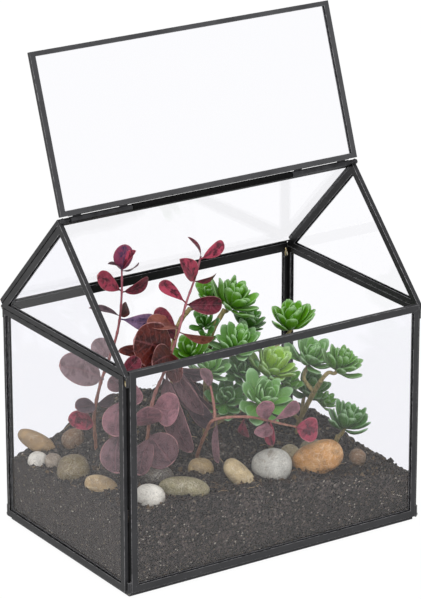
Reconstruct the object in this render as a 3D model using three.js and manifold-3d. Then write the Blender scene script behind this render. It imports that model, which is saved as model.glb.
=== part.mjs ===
// A glass house terrarium with a hinged half roof, planted with two succulents in soil and pebbles.
// Millimetres, +Z up. The long side runs along X and the front, where the roof opens, faces -Y. The roof
// is shown open, leaning back past upright on its hinge. The origin is the middle of the base, on the ground.

import * as THREE from "three";
import { mergeVertices } from "three/addons/utils/BufferGeometryUtils.js";
import Module from "manifold-3d";

const wasm = await Module();
wasm.setup();

// ---- Driving dimensions ----
const WIDTH = 252; // outside, along X
const DEPTH = 170; // outside, along Y
const CHANNEL_DEEP = 3.4; // thickness of every panel's metal channel
const CHANNEL_FACE = 5.2; // width of the channel's face, where no other is given
// Where the faces differ, they are given for each edge in turn: foot, right, head, left.
const FRONT_FACES = [5.2, 4.3, 5.2, 5.2];
const BACK_FACES = [5.2, 3.2, 6.7, 3.2];
const END_FACES = [5.2, 2.8, 4.2, 5.2];
const ROOF_FACES = [1.7, 1.1, 5, 1.1];
const LID_FACES = [3.7, 4.2, 3.5, 4.2];
const GABLE_FACES = [3.9, 5.2, 5.2]; // foot, back slope, front slope
const CHANNEL_WALL = 0.6; // thickness of each lip of the channel
const CHANNEL_WEB = 0.8; // metal left outside the groove that holds the glass
const GLASS_THICK = 1.6;
const GAP = 0.3; // between touching pieces
const FRONT_TOP = 168.5; // top of the front pane
const BACK_TOP = 168.1; // top of the back pane, under the fixed roof
const END_TOP = 165.4; // top of the rectangular end panes
const GABLE_BOTTOM = 165.8;
const GABLE_APEX = 251.7;
const ROOF_SLOPE = 1.0118; // fall of both roofs for each mm of Y, about 45 degrees
const ROOF_RIDGE = 257; // where the fixed roof's outer plane would meet the middle
const ROOF_START = 3.7; // bare distance down the slope before the fixed roof begins
const ROOF_LENGTH = (DEPTH / 2) * Math.hypot(1, ROOF_SLOPE) - ROOF_START; // down to the back wall's face
const HINGE_Y = -1.6;
const HINGE_Z = 254;
const LID_WIDTH = 251;
const LID_LENGTH = 115.8;
const LID_START = 2.8; // clear distance between the hinge axis and the lid's lower channel
const LID_LEAN = 19.6; // degrees past upright when open
const ROD_RADIUS = 0.9;
const TUBE_RADIUS = 2.2;
const TUBE_BORE = 1.2;
const TUBE_INNER_END = 68; // each hinge tube runs between these distances from the middle
const TUBE_OUTER_END = 118;
const SOLDER_RADIUS = 1.6;
const SOLDER_LENGTH = 8;
const SOIL_BOTTOM = CHANNEL_DEEP + GAP;
const SOIL_HALF_X = WIDTH / 2 - CHANNEL_DEEP - GAP;
const SOIL_HALF_Y = DEPTH / 2 - CHANNEL_DEEP - GAP;
const RED_STEM_RADIUS = 1.5;
const GREEN_STEM_RADIUS = 2.1;
const GREEN_BRANCH_RADIUS = 1.4;
const GOLDEN_ANGLE = 2.39996;

// ---- Finishes ----
const finish = (color, roughness, metalness) => new THREE.MeshStandardMaterial({ color, roughness, metalness });
const metal = finish(0x3c3c3e, 0.45, 0.7);
const glass = new THREE.MeshStandardMaterial({
  color: 0xf0f3fa,
  roughness: 0.05,
  metalness: 0,
  transparent: true,
  opacity: 0.3,
});
const earth = finish(0x2a211c, 0.95, 0);
const redLeaf = finish(0x8e2f47, 0.5, 0);
const greenLeaf = finish(0x5f9a5b, 0.5, 0);
const greenBark = finish(0x7d7048, 0.7, 0);

const terrarium = new THREE.Group();

// ---- Solids: joining and cutting ----

/** The solid of a closed geometry, moved by a matrix if one is given. */
function solidOf(geometry, matrix) {
  const bare = geometry.clone();
  bare.deleteAttribute("normal");
  bare.deleteAttribute("uv");
  if (matrix) bare.applyMatrix4(matrix);
  const merged = mergeVertices(bare, 1e-4);
  return new wasm.Manifold(
    new wasm.Mesh({
      numProp: 3,
      vertProperties: Float32Array.from(merged.attributes.position.array),
      triVerts: Uint32Array.from(merged.index.array),
    }),
  );
}

/** The geometry of a solid. */
function geometryOf(solid) {
  const mesh = solid.getMesh();
  const geometry = new THREE.BufferGeometry();
  geometry.setAttribute("position", new THREE.BufferAttribute(Float32Array.from(mesh.vertProperties), 3));
  geometry.setIndex(new THREE.BufferAttribute(Uint32Array.from(mesh.triVerts), 1));
  geometry.computeVertexNormals();
  return geometry;
}

function addPiece(name, solid, material, parent = terrarium) {
  const piece = new THREE.Mesh(geometryOf(solid), material);
  piece.name = name;
  parent.add(piece);
  return piece;
}

const joined = (solids) => solids.reduce((whole, solid) => whole.add(solid));

/** A closed mesh of rings of points, each ring joined to the next, with both ends filled. */
function loft(rings) {
  const count = rings[0].length;
  const points = rings.flat();
  const faces = [];
  for (let r = 0; r < rings.length - 1; r += 1) {
    for (let i = 0; i < count; i += 1) {
      const a = r * count + i;
      const b = r * count + ((i + 1) % count);
      faces.push(a, a + count, b, b, a + count, b + count);
    }
  }
  const last = (rings.length - 1) * count;
  for (let i = 1; i < count - 1; i += 1) {
    faces.push(0, i, i + 1);
    faces.push(last, last + i + 1, last + i);
  }
  const geometry = new THREE.BufferGeometry();
  geometry.setAttribute("position", new THREE.Float32BufferAttribute(points.flatMap((p) => p.toArray()), 3));
  geometry.setIndex(faces);
  return solidOf(geometry);
}

// ---- Panels: a pane of glass in a frame of grooved channel ----

/**
 * The polygon with its edges moved inwards; the points run anticlockwise. The distance is one number for
 * every edge, or a list with a number for each edge, starting from the edge after the first point.
 */
function inset(points, distance) {
  const distances = points.map((_, i) => (Array.isArray(distance) ? distance[i] : distance));
  return points.map((point, i) => {
    const last = (i + points.length - 1) % points.length;
    const before = points[last];
    const after = points[(i + 1) % points.length];
    const d1 = point.clone().sub(before).normalize();
    const d2 = after.clone().sub(point).normalize();
    const turn = d1.x * d2.y - d1.y * d2.x;
    const mitre = d2.clone().multiplyScalar(distances[last] / turn);
    return point.clone().add(mitre).addScaledVector(d1, -distances[i] / turn);
  });
}

/** The outline's prism between two heights. */
function prism(points, low, high) {
  const slab = new THREE.ExtrudeGeometry(new THREE.Shape(points), { depth: high - low, bevelEnabled: false });
  return solidOf(slab, new THREE.Matrix4().makeTranslation(0, 0, low));
}

const corners = (...pairs) => pairs.map(([x, y]) => new THREE.Vector2(x, y));
const rectangle = (halfWidth, low, high) =>
  corners([-halfWidth, low], [halfWidth, low], [halfWidth, high], [-halfWidth, high]);

/** Adds NAME_frame and NAME_glass, drawn flat and then laid on the given axes from the given point. */
function addPanel(name, outline, origin, right, up, { faces = CHANNEL_FACE, extra = [], cut = [] } = {}) {
  const opening = prism(inset(outline, faces), -1, CHANNEL_DEEP + 1);
  const groove = prism(inset(outline, CHANNEL_WEB), CHANNEL_WALL, CHANNEL_DEEP - CHANNEL_WALL);
  const frame = [opening, groove, ...cut].reduce((left, tool) => left.subtract(tool), prism(outline, 0, CHANNEL_DEEP));
  const glassLow = (CHANNEL_DEEP - GLASS_THICK) / 2;
  const pane = prism(inset(outline, CHANNEL_WEB + GAP), glassLow, glassLow + GLASS_THICK);
  const panel = new THREE.Group();
  panel.setRotationFromMatrix(new THREE.Matrix4().makeBasis(right, up, right.clone().cross(up)));
  panel.position.copy(origin);
  terrarium.add(panel);
  addPiece(`${name}_frame`, joined([frame, ...extra]), metal, panel);
  addPiece(`${name}_glass`, pane, glass, panel);
  return panel;
}

/** Short posts of solder that fill the corner grooves at both ends of a wall's upright channels. */
function cornerSolder(edge, low, high) {
  const posts = [];
  for (const side of [-1, 1]) {
    for (const bottom of [low, high - SOLDER_LENGTH]) {
      const post = new THREE.CylinderGeometry(SOLDER_RADIUS, SOLDER_RADIUS, SOLDER_LENGTH, 6);
      const middle = bottom + SOLDER_LENGTH / 2;
      const place = new THREE.Matrix4().makeTranslation(side * (edge + 1.1), middle, CHANNEL_DEEP / 2);
      posts.push(solidOf(post, place));
    }
  }
  return posts;
}

const axisX = new THREE.Vector3(1, 0, 0);
const axisY = new THREE.Vector3(0, 1, 0);
const axisZ = new THREE.Vector3(0, 0, 1);

function addCase() {
  const floorHalf = WIDTH / 2 - CHANNEL_DEEP;
  const floorDeep = DEPTH / 2 - CHANNEL_DEEP;
  const at = (x, y, z) => new THREE.Vector3(x, y, z);
  addPanel("floor", rectangle(floorHalf, -floorDeep, floorDeep), at(0, 0, 0), axisX, axisY);

  const wallHalf = floorHalf - GAP;
  const wallBottom = CHANNEL_DEEP + GAP;
  const front = rectangle(wallHalf, wallBottom, FRONT_TOP);
  const back = rectangle(wallHalf, wallBottom, BACK_TOP);
  const solder = (faces) => ({ faces, extra: cornerSolder(wallHalf, wallBottom, END_TOP) });
  addPanel("front", front, at(0, CHANNEL_DEEP - DEPTH / 2, 0), axisX, axisZ, solder(FRONT_FACES));
  addPanel("back", back, at(0, DEPTH / 2, 0), axisX, axisZ, solder(BACK_FACES));

  const end = rectangle(floorDeep - GAP, wallBottom, END_TOP);
  const reach = (GABLE_APEX - GABLE_BOTTOM) / ROOF_SLOPE;
  const gable = corners([-reach, GABLE_BOTTOM], [reach, GABLE_BOTTOM], [0, GABLE_APEX]);
  const sides = [["left", -WIDTH / 2], ["right", WIDTH / 2 - CHANNEL_DEEP]];
  for (const [name, x] of sides) {
    addPanel(`${name}_end`, end, at(x, 0, 0), axisY, axisZ, { faces: END_FACES });
    addPanel(`${name}_gable`, gable, at(x, 0, 0), axisY, axisZ, { faces: GABLE_FACES });
  }

  const slope = new THREE.Vector3(0, -1, ROOF_SLOPE).normalize(); // up the fixed roof
  const foot = -ROOF_START - ROOF_LENGTH;
  const roof = rectangle(WIDTH / 2, foot, -ROOF_START);
  // At its foot the pane lies on the channel's inner lip alone, so the channel there has no other side.
  const openFoot = rectangle(WIDTH / 2 - CHANNEL_WEB, foot - 1, foot + ROOF_FACES[0] + 1);
  const cut = [prism(openFoot, -1, CHANNEL_DEEP - CHANNEL_WALL)];
  addPanel("roof", roof, at(0, 0, ROOF_RIDGE), axisX, slope, { faces: ROOF_FACES, cut });
}

// ---- The lid and its hinge ----

function addHinge() {
  const alongX = new THREE.Matrix4().makeRotationZ(Math.PI / 2);
  const hinge = new THREE.Matrix4().makeTranslation(0, HINGE_Y, HINGE_Z);
  const blobRadius = 2.2;
  const blobMiddle = WIDTH / 2 - blobRadius;
  const rodLength = 2 * blobMiddle;
  const rod = new THREE.CylinderGeometry(ROD_RADIUS, ROD_RADIUS, rodLength, 8);
  const parts = [solidOf(rod, alongX)];
  for (const side of [-1, 1]) {
    const blob = new THREE.SphereGeometry(blobRadius, 8, 5);
    parts.push(solidOf(blob, new THREE.Matrix4().makeTranslation(side * blobMiddle, 0, 0)));
  }
  addPiece("hinge_rod", joined(parts).transform(hinge.toArray()), metal);
}

function addLid() {
  const lean = THREE.MathUtils.degToRad(90 - LID_LEAN);
  const up = new THREE.Vector3(0, Math.cos(lean), Math.sin(lean));
  const away = axisX.clone().cross(up);
  const hinge = new THREE.Vector3(0, HINGE_Y, HINGE_Z);
  const lidOrigin = hinge.clone().addScaledVector(away, -CHANNEL_DEEP / 2);
  const lid = rectangle(LID_WIDTH / 2, LID_START, LID_START + LID_LENGTH);
  addPanel("lid", lid, lidOrigin, axisX, up, { faces: LID_FACES });

  const alongX = new THREE.Matrix4().makeRotationZ(Math.PI / 2);
  const tubeLength = TUBE_OUTER_END - TUBE_INNER_END;
  const tackLength = 6;
  const tackReach = LID_START - GAP;
  const tubes = new THREE.Group();
  tubes.setRotationFromMatrix(new THREE.Matrix4().makeBasis(axisX, up, away));
  tubes.position.copy(hinge);
  terrarium.add(tubes);
  for (const [name, side] of [["left", -1], ["right", 1]]) {
    const middle = (side * (TUBE_INNER_END + TUBE_OUTER_END)) / 2;
    const along = new THREE.Matrix4().makeTranslation(middle, 0, 0).multiply(alongX);
    const shell = solidOf(new THREE.CylinderGeometry(TUBE_RADIUS, TUBE_RADIUS, tubeLength, 10), along);
    const bore = solidOf(new THREE.CylinderGeometry(TUBE_BORE, TUBE_BORE, tubeLength + 2, 10), along);
    const tacks = [-1, 1].map((end) => {
      const tack = new THREE.BoxGeometry(tackLength, tackReach, CHANNEL_DEEP / 2);
      const x = middle + end * (tubeLength / 2 - tackLength);
      return solidOf(tack, new THREE.Matrix4().makeTranslation(x, tackReach / 2, 0));
    });
    addPiece(`hinge_tube_${name}`, joined([shell, ...tacks]).subtract(bore), metal, tubes);
  }
}

// ---- Stems ----

const STEM_SIDES = 5;

/** A round stem through the given points. */
function stemSolid(points, radius, steps) {
  const ring = [];
  for (let i = 0; i < STEM_SIDES; i += 1) {
    const turn = (i * 2 * Math.PI) / STEM_SIDES;
    ring.push(new THREE.Vector2(radius * Math.cos(turn), radius * Math.sin(turn)));
  }
  const path = new THREE.CatmullRomCurve3(points);
  return solidOf(new THREE.ExtrudeGeometry(new THREE.Shape(ring), { steps, bevelEnabled: false, extrudePath: path }));
}

const vectors = (rows) => rows.map((row) => new THREE.Vector3(...row));

/** The hole in the soil for a stem: the stem's lower part, thickened and pushed a little deeper. */
function stemHole(points, radius) {
  const [root, next] = points;
  const down = root.clone().sub(next).normalize();
  const deeper = root.clone().addScaledVector(down, 1);
  return stemSolid([deeper, ...points.slice(1)], radius + 2 * GAP, 2 * points.length);
}

// ---- Burgundy leaves ----

const FACING = new THREE.Vector3(-0.52, -0.78, 0.34).normalize(); // the way most leaves turn their faces
const LEAF_STATIONS = [0, 0.18, 0.45, 0.72, 0.93, 1];
const LEAF_THICK = 1.4; // along the midrib
const LEAF_TAPER = 0.8; // how slowly the blade widens from its stalk
const LEAF_ROUND = 0.45; // how bluntly the blade ends

/** Half the width of a blade as a share of its greatest, at a share t of its length: t^a (1 - t)^b. */
function bladeShare(t, taper, roundness) {
  const peak = taper / (taper + roundness);
  const value = t ** taper * (1 - t) ** roundness;
  return value / (peak ** taper * (1 - peak) ** roundness);
}

/**
 * A flat blade from its base to its tip, folded a little along its midrib.
 * roll turns its face, in degrees, from FACING about its own length.
 */
function leafSolid([bx, by, bz, tx, ty, tz, width, roll]) {
  const base = new THREE.Vector3(bx, by, bz);
  const along = new THREE.Vector3(tx, ty, tz).sub(base);
  const length = along.length();
  const forward = along.clone().normalize();
  const normal = FACING.clone().addScaledVector(forward, -FACING.dot(forward)).normalize();
  normal.applyAxisAngle(forward, THREE.MathUtils.degToRad(roll));
  const side = forward.clone().cross(normal);
  const rings = LEAF_STATIONS.map((t) => {
    const half = Math.max(0.8, (width / 2) * bladeShare(t, LEAF_TAPER, LEAF_ROUND));
    const bow = 0.1 * length * Math.sin(Math.PI * t);
    const centre = base.clone().addScaledVector(forward, t * length).addScaledVector(normal, bow);
    const place = (across, lift) => centre.clone().addScaledVector(side, across).addScaledVector(normal, lift);
    const fold = 0.12 * half;
    return [place(-half, fold), place(0, -LEAF_THICK / 2), place(half, fold), place(0, LEAF_THICK / 2)];
  });
  return loft(rings);
}

/** Adds one leafy stem and gives back the hole that it needs in the soil. */
function addRedStem(name, route, leaves, branches = []) {
  const points = vectors(route);
  const stems = [points, ...branches.map(vectors)].map((line) => stemSolid(line, RED_STEM_RADIUS, 2 * line.length));
  addPiece(name, joined([...stems, ...leaves.map(leafSolid)]), redLeaf);
  return stemHole(points, RED_STEM_RADIUS);
}

// Each leaf is its base, its tip, its width and its roll.
function addBurgundyPlant() {
  const holes = [];
  holes.push(
    addRedStem(
      "red_stem_left",
      [[-79, 33, 50], [-78, 34, 63], [-81, 31, 89], [-78, 27, 114], [-74, 24, 129], [-69, 20, 149],
        [-67, 17, 166], [-67, 14, 187], [-68, 12, 204]],
      [
        [-68, 12, 202, -66, 10, 222, 14, 10],
        [-68, 12, 203, -82, 8, 212, 8, 80],
        [-68, 12, 203, -50, 18, 204, 8, 80],
        [-67, 14, 187, -91, 8, 205, 11, 15],
        [-67, 14, 186, -41, 20, 189, 10, 50],
        [-67, 17, 166, -55, 26, 170, 8, 40],
        [-67, 17, 167, -88, 25, 175, 9, 60],
        [-67, 17, 165, -53, 5, 163, 13, 10],
        [-76, 25, 118, -115, 22, 138, 21, 15],
        [-73, 23, 134, -80, 30, 148, 12, 10],
        [-80, 30, 98, -101, 24, 102, 9, 30],
        [-80, 30, 98, -61, 36, 97, 9, 30],
        [-80, 32, 82, -106, 26, 93, 13, 20],
      ],
    ),
  );
  holes.push(
    addRedStem(
      "red_stem_middle",
      [[-67, -14, 50], [-68, -19, 76], [-68, -24, 106], [-62, -22, 121], [-53, -18, 131], [-41, -13, 148],
        [-33, -9, 160], [-25, -5, 175], [-16, -2, 190], [-9, 0, 206]],
      [
        [-9, 0, 205, -24, -6, 225, 7, 65],
        [-9, 0, 204, 13, 4, 211, 9, 20],
        [-16, -2, 189, -32, -8, 212, 16, 5],
        [-16, -2, 189, 8, 6, 188, 8, 60],
        [-25, -5, 174, 0, -12, 172, 15, 15],
        [-25, -5, 175, -43, 2, 192, 9, 20],
        [-39, -12, 151, -49, -4, 176, 11, 5],
        [-33, -9, 158, -66, -18, 171, 15, 50],
        [-35, -10, 157, -8, -14, 147, 10, 45],
        [-42, -14, 146, -82, -22, 163, 27, 10],
        [-48, -16, 139, -84, -8, 152, 9, 30],
        [-48, -16, 138, -85, -28, 145, 12, 20],
        [-44, -14, 145, -46, -26, 126, 14, 20],
        [-49, -16, 136, -12, -14, 121, 11, 40],
        [-54, -18, 130, -33, -9, 103, 15, 20],
        [-50, -17, 133, -40, -33, 73, 16, 15],
        [-46, -15, 141, -18, -8, 92, 14, 15],
        [-66, -24, 112, -52, -37, 110, 25, 10],
        [-68, -23, 97, -83, -43, 121, 18, 10],
        [-68, -22, 91, -62, -43, 73, 26, 10],
      ],
    ),
  );
  holes.push(
    addRedStem(
      "red_stem_corner",
      [[-97, -32, 50], [-97, -32, 78], [-98, -34, 103], [-98, -36, 127], [-98, -36, 148]],
      [
        [-98, -36, 133, -104, -30, 144, 14, 10],
        [-98, -36, 128, -110, -44, 105, 20, 15],
        [-98, -34, 104, -108, -42, 76, 20, 15],
        [-98, -36, 145, -92, -48, 127, 13, 15],
        [-98, -36, 146, -87, -40, 158, 12, 15],
      ],
    ),
  );
  holes.push(
    addRedStem(
      "red_stem_trailing",
      [[-26, -16, 48], [-27, -22, 64], [-30, -38, 88], [-30, -50, 102], [-10, -60, 103], [10, -63, 96],
        [19, -63, 92], [31, -62, 87]],
      [
        [-26, -38, 121, -28, -30, 134, 9, 20],
        [-29, -51, 101, -38, -66, 76, 8, 45],
        [-12, -60, 103, -9, -57, 87, 10, 40],
        [6, -63, 97, -2, -69, 116, 14, 15],
        [6, -63, 97, -3, -70, 89, 14, 15],
        [9, -63, 96, 6, -68, 80, 8, 20],
        [10, -63, 96, 30, -67, 107, 9, 20],
        [30, -62, 87, 49, -64, 80, 17, 5],
      ],
      [[[-30, -50, 102], [-27, -44, 110], [-26, -38, 123]]],
    ),
  );
  return holes;
}

// ---- Green plant: branching stems that end in rosettes ----

const ROSETTE_LEAVES = 10;
const FLESHY = { taper: 1.5, roundness: 0.35, stations: [0, 0.72, 1] };

/** A fleshy leaf of a rosette: diamond in section, narrow at its foot and blunt at its tip. */
function fleshyLeaf(foot, direction, outward, length, width, thick) {
  const side = direction.clone().cross(outward).normalize();
  const lift = side.clone().cross(direction);
  const rings = FLESHY.stations.map((t) => {
    const share = Math.max(0.16, bladeShare(t, FLESHY.taper, FLESHY.roundness));
    const curl = -0.12 * length * t * t;
    const centre = foot.clone().addScaledVector(direction, t * length).addScaledVector(lift, -curl);
    const half = (width / 2) * share;
    const deep = (thick / 2) * Math.max(0.35, share);
    return [
      centre.clone().addScaledVector(side, half),
      centre.clone().addScaledVector(lift, deep),
      centre.clone().addScaledVector(side, -half),
      centre.clone().addScaledVector(lift, -deep),
    ];
  });
  return loft(rings);
}

/** Leaves round an axis at the golden angle, the inner ones short and upright, the outer long and spread. */
function rosetteSolid({ centre, axis, radius, turn }) {
  const up = new THREE.Vector3(...axis).normalize();
  const middle = new THREE.Vector3(...centre);
  const across = new THREE.Vector3(1, 0, 0).cross(up).normalize();
  const away = up.clone().cross(across);
  const toAxis = new THREE.Matrix4().makeBasis(across, up, away.negate());
  toAxis.setPosition(middle.clone().addScaledVector(up, -0.22 * radius));
  const core = new THREE.CylinderGeometry(0.16 * radius, 0.12 * radius, 0.46 * radius, 6);
  const parts = [solidOf(core, toAxis)];
  for (let i = 0; i < ROSETTE_LEAVES; i += 1) {
    const share = i / (ROSETTE_LEAVES - 1); // 0 in the heart, 1 at the rim
    const angle = turn + i * GOLDEN_ANGLE;
    const spread = 0.25 + 1.15 * share ** 0.8; // radians from the axis
    const out = across.clone().multiplyScalar(Math.cos(angle)).addScaledVector(away, Math.sin(angle));
    const direction = up.clone().multiplyScalar(Math.cos(spread)).addScaledVector(out, Math.sin(spread));
    const foot = middle.clone().addScaledVector(up, -(0.1 + 0.26 * share) * radius);
    const length = (0.62 + 0.42 * share) * radius;
    const width = (0.4 + 0.14 * share) * radius;
    parts.push(fleshyLeaf(foot, direction, out, length, width, 0.14 * radius));
  }
  return joined(parts);
}

const ROSETTES = {
  rosette_top: { centre: [30, 10, 170], axis: [0.45, -0.5, 0.75], radius: 20, turn: 0.4 },
  rosette_behind: { centre: [23, 38, 162], axis: [0.2, -0.4, 0.9], radius: 12, turn: 1.1 },
  rosette_back: { centre: [57, 36, 136], axis: [0.5, -0.3, 0.8], radius: 15, turn: 2.0 },
  rosette_middle: { centre: [20, -6, 140], axis: [0.1, -0.6, 0.75], radius: 18, turn: 0.9 },
  rosette_high: { centre: [81, 15, 141], axis: [0.3, -0.6, 0.75], radius: 18, turn: 1.7 },
  rosette_bright: { centre: [47, -16, 122], axis: [0.3, -0.5, 0.8], radius: 17, turn: 2.6 },
  rosette_blue: { centre: [90, 2, 111], axis: [0.55, -0.55, 0.6], radius: 19, turn: 0.2 },
  rosette_spiky: { centre: [94, -30, 118], axis: [0.4, -0.45, 0.8], radius: 17, turn: 3.0 },
  rosette_low: { centre: [94, -42, 78], axis: [0.3, -0.35, 0.88], radius: 16, turn: 1.3 },
  rosette_shaded: { centre: [94, 10, 81], axis: [0.2, -0.8, 0.45], radius: 14, turn: 0.7 },
  rosette_front: { centre: [24, -40, 109], axis: [-0.1, -0.75, 0.65], radius: 22, turn: 2.2 },
  rosette_dark: { centre: [9, -8, 99], axis: [-0.4, -0.7, 0.5], radius: 15, turn: 1.9 },
  rosette_left: { centre: [-6, -2, 126], axis: [-0.25, -0.45, 0.85], radius: 14, turn: 0.1 },
};

/** The branch from a point on a stem to the foot of a rosette, which it stops just short of. */
function branchTo(from, name, by = []) {
  const { centre, axis, radius } = ROSETTES[name];
  const up = new THREE.Vector3(...axis).normalize();
  const foot = new THREE.Vector3(...centre).addScaledVector(up, -0.45 * radius - GAP);
  const under = foot.clone().addScaledVector(up, -5);
  return stemSolid([...vectors([from, ...by]), under, foot], GREEN_BRANCH_RADIUS, 5);
}

function addGreenPlant() {
  for (const [name, rosette] of Object.entries(ROSETTES)) addPiece(name, rosetteSolid(rosette), greenLeaf);

  const right = vectors([[82, 9, 36], [82, 8, 52], [81, 2, 63], [82, -12, 86], [83, -20, 98]]);
  const left = vectors([[-3, 5, 54], [-3, 4, 68], [0, 8, 90], [6, 13, 118], [8, 12, 140], [20, 13, 156]]);
  const back = vectors([[-26, 14, 54], [-26, 14, 70], [-24, 16, 94], [-21, 18, 135], [-12, 23, 150], [2, 32, 154]]);
  const low = vectors([[86, -27, 32], [87, -30, 46], [88, -35, 58]]);
  const stem = (points) => stemSolid(points, GREEN_STEM_RADIUS, 2 * points.length);
  const stems = {
    green_stem_right: [
      stem(right),
      branchTo([83, -19, 97], "rosette_spiky", [[87, -23, 104]]),
      branchTo([82, -12, 86], "rosette_blue", [[80, -2, 94]]),
      branchTo([81, 2, 63], "rosette_shaded"),
      branchTo([81, 5, 58], "rosette_high", [[64, 12, 84], [60, 14, 110]]),
      branchTo([60, 14, 108], "rosette_back"),
    ],
    green_stem_left: [
      stem(left),
      branchTo([18, 13, 154], "rosette_top"),
      branchTo([6, 13, 112], "rosette_middle", [[13, 9, 121]]),
      branchTo([0, 8, 92], "rosette_left", [[-2, 6, 106]]),
      branchTo([-2, 6, 78], "rosette_dark"),
      branchTo([-3, 4, 70], "rosette_front", [[14, -2, 79], [25, -16, 90]]),
      branchTo([-2, 5, 74], "rosette_bright", [[20, 2, 84], [38, -3, 102]]),
    ],
    green_stem_back: [stem(back), branchTo([0, 31, 154], "rosette_behind")],
    green_stem_low: [stem(low), branchTo([88, -34, 56], "rosette_low")],
  };
  for (const [name, parts] of Object.entries(stems)) addPiece(name, joined(parts), greenBark);
  return [right, left, back, low].map((points) => stemHole(points, GREEN_STEM_RADIUS));
}

// ---- Pebbles ----

// Each pebble is its centre, its half lengths, its turn about Z, its tilt along its length and its colour.
const PEBBLES = {
  pebble_tan_long: [[-106, 71, 60], [13, 7, 7.5], -33, -22, 0xb19a76],
  pebble_white_left: [[-112.5, 59, 50], [7.8, 8, 8.5], 0, 0, 0xd8d3c6],
  pebble_grey_left: [[-107, 46, 54], [6.5, 6, 7], 20, 0, 0x8d7f6f],
  pebble_olive_left: [[-107, 18, 57], [12, 11, 12], -33, 0, 0x84775a],
  pebble_brown_left: [[-84, 56, 62], [9, 8, 8], -20, 10, 0x8a7257],
  pebble_tan_left: [[-107, -20, 58], [12, 8, 7], -40, -12, 0xb7a283],
  pebble_white_front: [[-96, -68, 64], [10, 9, 10], -33, 0, 0xd6d0c2],
  pebble_olive_front: [[-66, -64, 63], [17, 9, 8.5], -33, -6, 0x8f8568],
  pebble_dark: [[-68, -33, 62], [12, 9, 7], -33, 0, 0x5b544c],
  pebble_tan_back: [[-32, -35, 60], [10, 8, 7], -33, 0, 0xa08b6b],
  pebble_beige: [[-17, -62, 60], [13, 8, 10], -33, -35, 0xc9b894],
  pebble_light_grey: [[12, -59, 59], [14.5, 12, 13], -33, 0, 0xb9b7ae],
  pebble_grey_tan: [[43.5, -37, 52], [8, 6.5, 9], -33, 0, 0x9f9277],
  pebble_orange: [[53, -60, 57], [18, 10.5, 12.5], -33, 24, 0xc08a4d],
  pebble_olive_back: [[71, -26, 50], [9, 7, 6], -33, 5, 0x80755a],
  pebble_brown_right: [[95, -49, 44], [6.5, 6, 6.5], 0, 0, 0x8b6b4c],
};

/** A smooth stone: an ellipsoid with a few slow bulges, grown by a margin where it is used as a cutter. */
function pebbleSolid([centre, halves, yaw, tilt], number, margin = 0) {
  const ball = new THREE.IcosahedronGeometry(1, halves[0] > 14 ? 2 : 1);
  const position = ball.attributes.position;
  const point = new THREE.Vector3();
  const scale = new THREE.Vector3(...halves);
  for (let i = 0; i < position.count; i += 1) {
    point.fromBufferAttribute(position, i).normalize();
    const bulge =
      1 + 0.05 * Math.sin(2.3 * point.x + 1.7 * number) + 0.05 * Math.cos(2.9 * point.y + point.z + number);
    const out = point.clone();
    point.multiply(scale).multiplyScalar(bulge).addScaledVector(out, margin);
    position.setXYZ(i, point.x, point.y, point.z);
  }
  const radians = THREE.MathUtils.degToRad;
  const turned = new THREE.Matrix4().makeRotationZ(radians(yaw));
  turned.multiply(new THREE.Matrix4().makeRotationY(radians(-tilt)));
  turned.setPosition(...centre);
  return solidOf(ball, turned);
}

function addPebbles() {
  return Object.entries(PEBBLES).map(([name, row], number) => {
    addPiece(name, pebbleSolid(row, number), finish(row[4], 0.7, 0));
    return pebbleSolid(row, number, 1.4 * GAP);
  });
}

// ---- Soil ----

const SOIL_CELL = 10;
const CRUMB = 0.8; // height of the soil's unevenness

/** Height of the soil: higher in front and at the left, with a mound behind and a heap at two corners. */
function soilHeight(x, y) {
  const across = x / 122;
  const along = (y + 82) / 164;
  const front = 54 - 14 * across - 5 * across ** 2;
  const rear = 44 - 2 * across;
  const mound = 34 * Math.exp(-(Math.abs((x + 8) / 74) ** 4) - (Math.max(0, 60 - y) / 70) ** 2);
  const rightHeap = 6 * Math.exp(-(((x - 112) / 30) ** 2) - ((y - 38) / 26) ** 2);
  const leftHeap = 6 * Math.exp(-(((x + 104) / 18) ** 2) - ((y - 70) / 20) ** 2);
  const crumbs = CRUMB * (Math.sin(0.83 * x + 1.3 * Math.sin(0.31 * y)) + Math.sin(0.71 * y + 0.9 * Math.sin(0.4 * x)));
  return front * (1 - along) + rear * along + mound + rightHeap + leftHeap + crumbs;
}

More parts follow.
